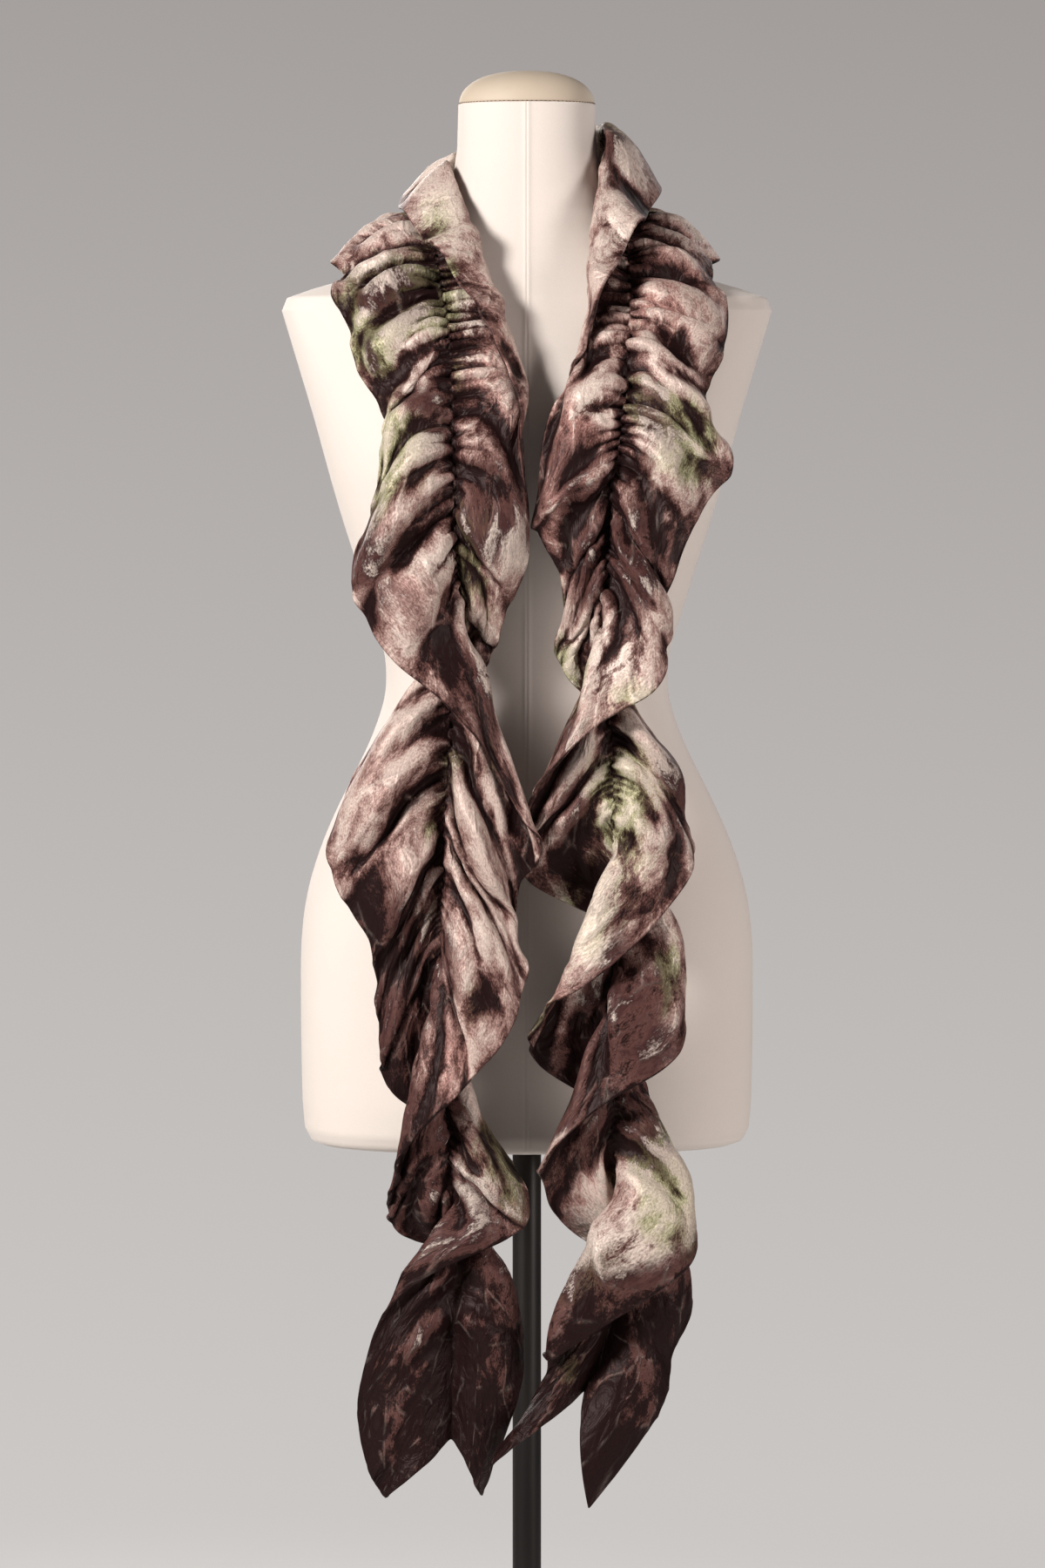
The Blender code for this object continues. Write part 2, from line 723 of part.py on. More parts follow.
def main():
    clear_scene()
    looks = {
        "form": material("form_cloth", FORM_CLOTH, 0.85, 0.0),
        "cap": material("cap_cloth", CAP_CLOTH, 0.8, 0.0),
        "pole": material("pole_metal", POLE_METAL, 0.45, 0.6),
        "base": material("base_metal", POLE_METAL, 0.5, 0.6),
    }
    for name in ("left_end", "right_end"):
        looks[name] = material(name + "_velvet", DARK_PLUM, 0.6, 0.0)
    for name in ("left_lower", "right_lower"):
        looks[name] = material(name + "_velvet", PLUM, 0.55, 0.0)
    for name in ("left_upper", "neck_wrap", "right_upper"):
        looks[name] = material(name + "_velvet", MAUVE, 0.5, 0.0)
    band = Band()
    add_form(looks)
    add_cap(looks)
    add_stand(looks)
    add_scarf(band, looks)


main()
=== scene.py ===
"""The looks of a ruched velvet scarf on a limbless dress form. Tables are in millimetres, +Z up.

The scarf is one long double-layer band of crushed velvet, gathered along its middle (the spine)
and hung round the neck. It is made here from the same sizes as its solids, with finer gathers,
folds and creases, rounded edges and a mottled dye. Left and right are the viewer's.
"""

import math

import bmesh
import bpy
import numpy as np
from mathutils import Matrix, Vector


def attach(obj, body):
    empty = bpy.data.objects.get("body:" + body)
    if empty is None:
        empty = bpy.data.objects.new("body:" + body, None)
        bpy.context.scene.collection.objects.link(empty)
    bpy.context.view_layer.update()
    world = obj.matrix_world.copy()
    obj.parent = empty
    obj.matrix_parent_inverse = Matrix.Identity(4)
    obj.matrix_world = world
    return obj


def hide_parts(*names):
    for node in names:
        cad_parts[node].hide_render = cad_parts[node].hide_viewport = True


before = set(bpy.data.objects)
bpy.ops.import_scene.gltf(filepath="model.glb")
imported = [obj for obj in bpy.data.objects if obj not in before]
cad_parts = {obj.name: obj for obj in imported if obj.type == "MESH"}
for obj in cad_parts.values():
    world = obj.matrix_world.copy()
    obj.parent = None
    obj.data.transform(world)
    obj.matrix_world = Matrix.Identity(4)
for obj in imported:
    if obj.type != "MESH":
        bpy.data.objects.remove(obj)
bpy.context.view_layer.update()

MM = 0.001  # metres

# ---------------------------------------------------------------- the scarf's sizes
WALL = 2.2  # two layers of velvet
EDGE_WALL = 3.4  # at the turned-out edges, where the seam allowances lie inside
EDGE_BAND = 5.0  # how far in from the edge it is thicker
END_ROWS = (0.04, 0.15, 0.32, 0.6)  # extra rows that round the ends, as shares of half that wall
LAYER_GAP = 400  # how far apart the hidden and the shown layer lie on the flat cloth
DOUBLES = 2e-7  # metres: nearer points than this are one
ROW_STEP = 1.1  # along the spine
WING_STEPS = 42  # across a wing
WING_BEND = 1.2  # the steps are smaller towards the spine
CLOTH_CLEARANCE = 5.4  # from the form's surface to the middle of the wall, as it is laid
FOLDED_CLEARANCE = CLOTH_CLEARANCE * 0.8  # the same once it has its folds
SMOOTHING = 10.0  # how far the corners between a table's rows are rounded off
NORMAL_REACH = 6.8  # how far along the spine the way the cloth faces is measured
NORMAL_SHARE = 0.06  # the same across a wing, as a share of it
FRONT_EASE = 0.46  # how far a wing comes out where it turns to the front, as a share of its reach
BACK_EASE = 0.34  # the same where it turns to the back
SPINE_SINK = 15.0  # how far a wing that lies to one side rises beside the gathered line
RIB_NEAR = (0.40, 0.04)  # a hanging rib's two inner points, as shares of its reach and drop
RIB_FAR = (0.76, 0.50)
ROLL_PUFF = 17.0  # how far the collar's roll is puffed out on each side of its crest
END_STRAIGHT = 110.0  # how far from the band's ends its ribs are straightened
END_GATHERS = (140.0, 230.0)  # how far from the band's ends the gathers start, and are full
END_BULGE = 16.0  # each half of a flat end bulges, with the spine in the valley between them
EDGE_WANDER = 3.5  # how uneven the free edges are
EDGE_WAVES = ((1.0, 27.0, 0), (0.6, 11.3, 2))  # each has a size, a length and a start
NECK_SIDES = (-115.0, -65.0)  # the spine's y where the cloth leaves the front, and has left it
CUT_FULLNESS = 1.42  # the cloth's flat length for each length of the gathered line
CUT_WIDTH = 200.0  # the sewn band's width, flat
DYE_FULLNESS = 1.12  # the band was dyed when it was partly gathered

# ---------------------------------------------------------------- wide folds and ruffles
STILL_TURN = 1.2  # degrees a millimetre: a wing that turns faster has fewer of them
FOLD_HEIGHT = 4.2
FOLD_LENGTH = 31.0
FOLD_RIPPLE = 2.1  # how far the two wings' folds are out of step, in radians
FOLD_DRIFTS = ((1.4, 53.0), (0.9, 29.0))  # how unevenly they follow each other: size and length
FOLD_TAIL = 1.2  # a large fold would end at this share of the wing, just beyond its free edge
RUFFLE_HEIGHT = 4.5
RUFFLE_LENGTH = 67.0
RUFFLE_FROM = 0.35  # share of the wing's width where the ruffles start
RUFFLE_DRIFT = (1.3, 71.0)
BACK_WAVES = 1.7  # how much deeper the waves are behind the neck
ROLL_WAVES = 1.1  # the same on the collar's roll

# ---------------------------------------------------------------- gathers and creases
PUCKER_PITCH = 10.0  # from one gather to the next, on average
PITCH_WAVES = ((2.6, 37.0, 0), (3.0, 13.7, 1))  # how it varies: size, length and start
PUCKER_HEIGHT = 5.0
PUCKER_LEAST = 0.35  # the lowest gather's share of that height
PUCKER_SPREAD = 0.85  # how much more of it the others have, at most
PUCKER_BASE = 0.55  # how far the stitched line pulls them in, as a share of their height
PUCKER_COUNT = 400  # after so many gathers their sizes repeat
PUCKER_SEED = 11
PUCKER_REACH = (0.11, 0.42)  # shares of a wing's width at which the gathers die away
CRUSH_HILLS = ((30.0, 1.6), (13.0, 0.6))  # size and height of the crushed cloth's dents
CRUSH_SEED = 20
HILL_GRID = (97, 61)  # so many random heights along and across, and then the hills repeat
CREASE_DEPTH = 2.2  # multiplies the heights in the table of creases
CREASE_WANDER = 2.5  # how far a crease strays from its line
SWAG_GAP = (17.0, 40.0)  # from one of the larger folds that run out from the gathers to the next
SWAG_HEIGHT = (3.5, 10.0)
SWAG_WIDTH = (5.0, 9.0)  # at the spine; they widen on their way out
SWAG_REACH = (0.45, 1.05)  # shares of the wing's width at which they end
SWAG_LEAN = (-9, 9)  # how far they lean along the spine on their way out
SWAG_START = 0.7  # share of the gathers' start at which the first one stands
SWAG_SEEDS = {-1: 51, 1: 52}  # the random seed of each wing
SWAG_ON_ROLL = 0.6  # how much of their height is left where the wing is rolled over

# How often the way that the cloth faces is evened out between its points.
DRAPE_EVENING = 2
RELIEF_EVENING = 6
WALL_EVENING = 3

# A crest is where the cloth stands out by so much of what it is when it is evened out so often.
# The velvet's colour is painted lighter on the crests and darker in the troughs: painted highlight
# and painted shade.
WIDE_CREST = (10, 2.4)
FINE_CREST = (14, 0.6)
FINE_SHARE = 0.35  # how much of the crests is fine
EDGE_CREST = 0.45  # the same at the rim, which is neither a crest nor a trough

# ---------------------------------------------------------------- the settling of the cloth
DRAPE_ROWS = 520
DRAPE_WING = 13  # columns in a wing
DRAPE_FRAMES = 20
DRAPE_FULLNESS = 1.75  # more than the real cut has, so that it buckles within a few frames
DRAPE_EVEN = 15  # rows on each side over which the cut length is evened out
DRAPE_HOLD = 0.20  # how firmly a wing is held where it was laid; the spine is held fast
END_HOLD = 0.9  # the same at the flat ends
DRAPE_CLOTH = dict(
    quality=5,
    mass=0.30,
    air_damping=2.0,
    tension_stiffness=20.0,
    compression_stiffness=20.0,
    shear_stiffness=0.4,
    bending_stiffness=6.0,
    pin_stiffness=1.0,
)
DRAPE_GRAVITY = 0.3
FORM_GAP = 0.002  # metres that the form keeps clear in the simulation
FORM_FRICTION = 8
CLOTH_GAP = 0.003  # metres between the cloth and what it falls on
FOLD_GAP = 0.002  # metres between the cloth's own folds

# ---------------------------------------------------------------- the form's and stand's sizes
NECK_TOP = 1534.0
CAP_HEIGHT = 26.0
CAP_RADIUS = 52.6
POLE_RADIUS = 11.2
BASE_RADIUS = 194.0
BASE_THICKNESS = 7.0
FORM_SQUARENESS = 2.25  # 2 would make the form's sections ellipses
FORM_ROUNDED = (750, 1350)  # heights between which the corners between its rows are rounded off
FORM_ROUNDED_FADE = 20  # over this length it starts and ends
BUST = dict(height=1258.0, apart=76.0, swell=15.0, spread=48.0, facing=1.6)
PUSH_ROUNDS = 6  # how often the cloth is moved off the form
PUSH_LIMIT = 25  # how far it is moved in a round, at most
PUSH_SLOPE_REACH = 3  # how far above and below the form's slope is measured for that
FACING_SLOPE_REACH = 12  # the same for the way it faces
FORM_COLUMNS = ("height", "half_width", "front", "back")
FORM_SECTIONS = [
    (725, 160, 94, 97),
    (728, 168, 101, 104),
    (737, 173, 105, 108),
    (760, 175, 106, 110),
    (820, 176, 106, 111),
    (876, 176, 105, 109),
    (904, 174, 104, 107),
    (930, 169, 102, 103),
    (958, 160, 99, 97),
    (984, 149, 96, 91),
    (1010, 136, 93, 86),
    (1040, 121, 91, 81),
    (1074, 109, 90, 77),
    (1106, 109, 93, 77),
    (1142, 121, 98, 81),
    (1175, 131, 102, 86),
    (1212, 143, 106, 91),
    (1250, 154, 106, 95),
    (1291, 165, 102, 98),
    (1344, 181, 92, 98),
    (1374, 190, 82, 94),
    (1384, 186, 78, 92),
    (1391, 166, 74, 90),
    (1399, 138, 70, 87),
    (1410, 111, 65, 82),
    (1422, 90, 59, 76),
    (1436, 75, 54, 70),
    (1452, 65, 50, 65),
    (1472, 57.5, 47, 60),
    (1500, 53.5, 45, 57),
    (1534, 52.6, 44, 56),
]

# ---------------------------------------------------------------- the gathered line
SPINE_COLUMNS = ("x", "y", "z")
LEFT_SPINE = [
    (-58, -146, 515),
    (-54, -147, 640),
    (-54, -148, 700),
    (-69, -148, 800),
    (-62, -148, 920),
    (-58, -148, 1040),
    (-54, -147, 1150),
    (-54, -146, 1237),
    (-56, -140, 1272),
    (-58, -128, 1312),
    (-60, -109, 1354),
    (-65, -80, 1391),
]
NECK_SPINE = [
    (-71, -44, 1424),
    (-84, -6, 1444),
    (-83, 40, 1447),
    (-54, 80, 1443),
    (0, 96, 1440),
    (54, 80, 1445),
    (83, 40, 1450),
    (85, -6, 1446),
    (74, -44, 1422),
]
RIGHT_SPINE = [
    (80, -80, 1388),
    (77, -108, 1354),
    (74, -128, 1312),
    (68, -141, 1270),
    (60, -147, 1217),
    (56, -148, 1140),
    (65, -148, 1040),
    (67, -148, 960),
    (63, -148, 830),
    (66, -147, 745),
    (72, -147, 650),
    (64, -146, 600),
    (45, -146, 552),
]

# ---------------------------------------------------------------- the wings, a row for each fold
# at: the spine's height where the fold starts. turn: 0 to the right, 90 back, 180 left, 270 or
# -90 to the front, counted on past a whole turn. reach and drop: the free edge from the spine.
WING_COLUMNS = ("at", "turn", "reach", "drop")
LEFT_OUTER = [
    (515, 40, 30, 46),
    (560, 12, 36, 50),
    (600, -18, 54, 42),
    (640, 4, 50, 45),
    (672, 55, 46, 30),
    (700, 112, 50, 38),
    (741, 170, 48, 62),
    (774, 196, 47, 86),
    (807, 228, 58, 88),
    (840, 254, 78, 86),
    (873, 275, 82, 92),
    (907, 297, 84, 99),
    (940, 312, 80, 101),
    (973, 334, 74, 104),
    (1006, 346, 58, 112),
    (1039, 342, 54, 99),
    (1078, 326, 84, 105),
    (1115, 305, 82, 97),
    (1151, 273, 80, 82),
    (1184, 234, 76, 84),
    (1212, 204, 74, 67),
    (1237, 190, 76, 60),
    (1272, 184, 68, 54),
    (1307, 180, 61, 42),
    (1340, 174, 50, 34),
    (1366, 165, 70, 32),
    (1391, 157, 78, 22),
]
NECK_OUTER = [
    (168, 74, 22),
    (156, 70, 32),
    (142, 72, 40),
    (118, 70, 52),
    (90, 66, 60),
    (62, 70, 52),
    (38, 72, 36),
    (26, 65, 31),
    (20, 69, 14),
]
RIGHT_OUTER = [
    (1388, 18, 74, 14),
    (1360, 12, 70, 26),
    (1338, 5, 54, 32),
    (1314, 1, 76, 36),
    (1291, 0, 82, 44),
    (1267, -6, 68, 36),
    (1244, -20, 46, 58),
    (1217, -34, 46, 66),
    (1190, -30, 66, 80),
    (1164, -60, 76, 82),
    (1138, -90, 78, 78),
    (1108, -116, 74, 70),
    (1078, -145, 64, 60),
    (1045, -170, 68, 72),
    (1016, -195, 69, 74),
    (986, -250, 66, 75),
    (956, -310, 72, 74),
    (926, -350, 56, 72),
    (897, -394, 64, 70),
    (867, -434, 74, 74),
    (837, -470, 72, 76),
    (807, -508, 58, 78),
    (778, -546, 52, 70),
    (748, -598, 60, 72),
    (718, -650, 72, 76),
    (688, -692, 64, 62),
    (655, -738, 40, 66),
    (600, -744, 45, 54),
    (573, -766, 46, 60),
    (550, -810, 36, 90),
]
LEFT_INNER = [
    (515, -160, 52, 45),
    (560, -170, 62, 76),
    (600, -176, 75, 70),
    (640, -168, 70, 58),
    (672, -128, 56, 34),
    (700, -62, 54, 36),
    (741, -14, 62, 55),
    (774, 20, 71, 62),
    (807, 52, 72, 74),
    (840, 96, 60, 84),
    (873, 134, 62, 90),
    (907, 164, 53, 92),
    (940, 175, 50, 88),
    (973, 189, 58, 84),
    (1006, 185, 82, 80),
    (1039, 178, 86, 72),
    (1078, 160, 78, 62),
    (1115, 124, 82, 48),
    (1151, 52, 60, 52),
    (1184, 25, 46, 58),
    (1212, 20, 44, 52),
    (1237, -6, 56, 43),
    (1272, -5, 50, 35),
    (1307, 0, 40, 30),
]
RIGHT_INNER = [
    (1338, 190, 46, 18),
    (1326, 190, 46, 15),
    (1315, 186, 73, 5),
    (1291, 186, 67, 28),
    (1267, 190, 63, 37),
    (1244, 194, 60, 36),
    (1217, 160, 34, 28),
    (1190, 158, 38, 55),
    (1164, 148, 50, 60),
    (1138, 122, 60, 56),
    (1108, 72, 70, 60),
    (1078, 40, 76, 62),
    (1045, 14, 67, 66),
    (1016, -15, 66, 68),
    (986, -56, 72, 72),
    (956, -92, 76, 74),
    (926, -128, 72, 74),
    (897, -160, 63, 66),
    (867, -196, 55, 66),
    (837, -260, 58, 66),
    (807, -310, 70, 68),
    (778, -345, 63, 72),
    (748, -374, 66, 76),
    (718, -414, 76, 76),
    (688, -454, 80, 76),
    (659, -488, 76, 70),
    (629, -524, 48, 46),
    (600, -545, 54, 50),
    (573, -538, 62, 54),
    (550, -532, 73, 60),
]

# ---------------------------------------------------------------- the rolled collar
# The rows round the neck belong to the neck's spine rows, so they leave out the height.
COLLAR_COLUMNS = ("at", "crest_x", "crest_y", "crest_z", "edge_x", "edge_y", "edge_z")
LEFT_COLLAR = [
    (1255, 0, -130, 1250, 6, -156, 1232),
    (1300, 4, -122, 1304, 0, -142, 1300),
    (1330, 0, -118, 1330, -12, -134, 1335),
    (1354, -12, -108, 1362, -30, -126, 1366),
    (1391, -27, -88, 1402, -52, -106, 1398),
]
NECK_COLLAR = [
    (-44, -64, 1448, -78, -80, 1430),
    (-60, -22, 1490, -96, -28, 1456),
    (-61, 32, 1502, -100, 44, 1464),
    (-42, 66, 1506, -70, 100, 1466),
    (0, 76, 1510, 0, 122, 1468),
    (42, 68, 1516, 70, 102, 1472),
    (61, 34, 1522, 100, 44, 1474),
    (61, -14, 1524, 98, -24, 1466),
    (51, -62, 1454, 80, -78, 1440),
]
RIGHT_COLLAR = [
    (1388, 40, -88, 1404, 58, -106, 1402),
    (1360, 31, -104, 1364, 42, -122, 1368),
    (1338, 26, -114, 1336, 30, -134, 1334),
    (1322, 24, -118, 1318, 28, -140, 1314),
    (1304, 4, -122, 1300, 3, -146, 1298),
]
ROLL_ENDS = dict(left_from=1244, left_full=1318, right_full=1372, right_from=1308)

# ---------------------------------------------------------------- the largest folds
# Where the cloth doubles over itself. side: -1 left, 1 right. wing: -1 outer, 1 inner.
FOLD_COLUMNS = ("side", "wing", "at", "height", "lean", "width")
LARGE_FOLDS = [
    (-1, -1, 1362, 9, 8, 13),
    (-1, -1, 1236, 14, 16, 17),
    (-1, 1, 1222, 9, 14, 13),
    (-1, -1, 1040, 8, 10, 16),
    (-1, 1, 1020, 8, 10, 16),
    (1, -1, 1352, 9, 10, 12),
    (1, -1, 1300, 8, 10, 11),
    (1, -1, 1272, 9, 12, 13),
    (1, -1, 1236, 10, 14, 14),
    (1, 1, 1262, 10, 16, 15),
]

# More of them that the plain solids leave out, with the same columns.
FOLDS_BETWEEN = [
    (-1, -1, 1388, 7, 8, 11),
    (-1, -1, 1336, 7, 9, 12),
    (-1, -1, 1190, 11, 14, 14),
    (-1, 1, 1172, 9, 14, 13),
    (-1, -1, 1100, 9, 14, 14),
    (-1, -1, 1012, 17, 24, 15),
    (-1, 1, 1062, 10, 12, 13),
    (-1, 1, 1040, 10, 14, 12),
    (-1, 1, 978, 12, 16, 15),
    (-1, 1, 900, 9, 12, 15),
    (-1, -1, 905, 9, 12, 15),
    (-1, -1, 760, 10, 12, 14),
    (-1, 1, 735, 9, 12, 13),
    (1, -1, 1378, 8, 9, 12),
    (1, -1, 1328, 8, 10, 12),
    (1, -1, 1206, 10, 14, 14),
    (1, 1, 1222, 9, 16, 13),
    (1, 1, 1176, 10, 14, 14),
    (1, 1, 1060, 10, 14, 14),
    (1, -1, 1050, 9, 12, 14),
    (1, -1, 960, 9, 12, 14),
    (1, 1, 940, 9, 14, 14),
    (1, -1, 870, 9, 12, 14),
    (1, 1, 815, 9, 12, 14),
    (1, -1, 745, 10, 12, 14),
    (1, 1, 700, 9, 12, 14),
]

# ---------------------------------------------------------------- creases placed one by one
# A ridge (height above 0) or a trough (below 0) that runs out over a wing from share "start" to
# share "end" of its width, and sinks by "lean" along the spine on its way.
CREASE_COLUMNS = ("side", "wing", "at", "start", "end", "lean", "height", "width")
CREASES = [
    (-1, -1, 1404, 0.04, 0.80, 6, -4.0, 5),
    (-1, -1, 1393, 0.02, 0.95, 9, 3.4, 6),
    (-1, -1, 1381, 0.03, 0.70, 10, -4.6, 5),
    (-1, -1, 1370, 0.05, 0.90, 12, 3.2, 6),
    (-1, -1, 1351, 0.03, 0.85, 16, -4.4, 5),
    (-1, -1, 1318, 0.20, 0.95, 22, 2.4, 8),
    (-1, -1, 1296, 0.30, 0.90, 26, -1.9, 6),
    (-1, -1, 1274, 0.12, 0.75, 24, 1.8, 6),
    (-1, -1, 1224, 0.05, 0.70, 10, -4.2, 6),
    (-1, -1, 1207, 0.05, 0.90, 14, 3.0, 7),
    (-1, -1, 1168, 0.15, 0.95, 18, -2.2, 7),
    (-1, -1, 1136, 0.20, 0.90, 16, 2.2, 8),
    (-1, -1, 1066, 0.03, 0.90, 18, 3.4, 8),
    (-1, -1, 1050, 0.03, 0.75, 16, -4.6, 6),
    (-1, -1, 1026, 0.04, 0.85, 20, 3.4, 8),
    (-1, -1, 1008, 0.10, 0.80, 18, -3.2, 7),
    (-1, -1, 960, 0.25, 0.95, 14, 2.0, 8),
    (-1, -1, 905, 0.20, 0.90, 12, -2.2, 8),
    (-1, -1, 850, 0.15, 0.85, 10, 2.4, 8),
    (-1, 1, 1290, 0.20, 0.90, 22, -3.0, 6),
    (-1, 1, 1262, 0.25, 0.95, 30, 3.0, 7),
    (-1, 1, 1196, 0.10, 0.85, 16, -3.0, 6),
    (-1, 1, 1172, 0.15, 0.90, 18, 2.4, 7),
    (-1, 1, 1046, 0.05, 0.80, 22, 3.0, 6),
    (-1, 1, 1030, 0.05, 0.85, 24, -3.6, 6),
    (-1, 1, 1000, 0.15, 0.90, 20, 2.6, 7),
    (-1, 1, 930, 0.20, 0.95, 14, -2.2, 8),
    (-1, 1, 800, 0.20, 0.90, 10, 2.6, 9),
    (-1, 1, 727, 0.05, 0.90, 14, -3.0, 5),
    (-1, 1, 714, 0.05, 0.95, 16, 3.2, 5),
    (-1, 1, 700, 0.05, 0.80, 12, -3.0, 5),
    (-1, -1, 720, 0.05, 0.90, 14, 3.0, 5),
    (-1, -1, 706, 0.05, 0.80, 12, -3.0, 5),
    (-1, -1, 694, 0.10, 0.90, 10, 2.6, 5),
    (1, -1, 1398, 0.03, 0.80, 6, -4.6, 6),
    (1, -1, 1384, 0.03, 0.95, 12, 3.6, 8),
    (1, -1, 1366, 0.03, 0.80, 16, -4.4, 6),
    (1, -1, 1338, 0.03, 0.95, 24, 3.4, 7),
    (1, -1, 1326, 0.05, 0.80, 24, -4.2, 5),
    (1, -1, 1287, 0.03, 0.90, 30, 3.8, 7),
    (1, -1, 1262, 0.05, 0.95, 30, -4.2, 6),
    (1, -1, 1216, 0.10, 0.85, 16, 2.8, 7),
    (1, -1, 1180, 0.20, 0.90, 12, -2.4, 8),
    (1, -1, 1130, 0.25, 0.95, 12, 2.6, 8),
    (1, -1, 1040, 0.20, 0.90, 12, -2.4, 8),
    (1, -1, 930, 0.20, 0.90, 10, 2.4, 8),
    (1, -1, 850, 0.25, 0.90, 12, -2.2, 8),
    (1, 1, 1340, 0.05, 0.70, 10, -3.4, 6),
    (1, 1, 1310, 0.05, 0.80, 12, 2.4, 7),
    (1, 1, 1240, 0.20, 0.95, 16, -3.2, 7),
    (1, 1, 1120, 0.15, 0.90, 14, 3.0, 8),
    (1, 1, 1090, 0.15, 0.85, 14, -2.8, 7),
    (1, 1, 1000, 0.20, 0.90, 16, 2.6, 8),
    (1, 1, 940, 0.25, 0.95, 14, -2.0, 8),
    (1, 1, 760, 0.20, 0.90, 10, 2.2, 9),
]

# How marked the gathers are at a height of the spine.
GATHER_COLUMNS = ("side", "at", "strength")
GATHERS = [
    (-1, 515, 0.2),
    (-1, 690, 0.5),
    (-1, 800, 0.4),
    (-1, 1000, 0.3),
    (-1, 1045, 0.6),
    (-1, 1080, 1.1),
    (-1, 1140, 0.9),
    (-1, 1190, 0.7),
    (-1, 1240, 1.2),
    (-1, 1391, 1.4),
    (1, 1388, 1.4),
    (1, 1290, 1.2),
    (1, 1230, 0.7),
    (1, 1160, 0.6),
    (1, 1100, 0.9),
    (1, 1020, 0.5),
    (1, 800, 0.4),
    (1, 550, 0.3),
]

# Where the free edge turns back on itself and hangs as a point.
TIP_COLUMNS = ("side", "wing", "at", "long", "width")
TIPS = [
    (-1, -1, 1237, 8, 14),
    (-1, 1, 1237, 10, 14),
    (-1, -1, 1078, 16, 16),
    (-1, 1, 1045, 13, 15),
    (-1, -1, 973, 12, 16),
    (1, -1, 1291, 9, 14),
    (1, 1, 1250, 8, 14),
    (1, -1, 1085, 16, 16),
    (1, 1, 897, 16, 16),
    (1, -1, 807, 14, 16),
    (1, 1, 659, 18, 18),
]

# ---------------------------------------------------------------- stretches, each one piece
LEFT_CUTS = dict(end=690, lower=1092, upper=1405)
RIGHT_CUTS = dict(upper=1405, lower=1092, end=680)
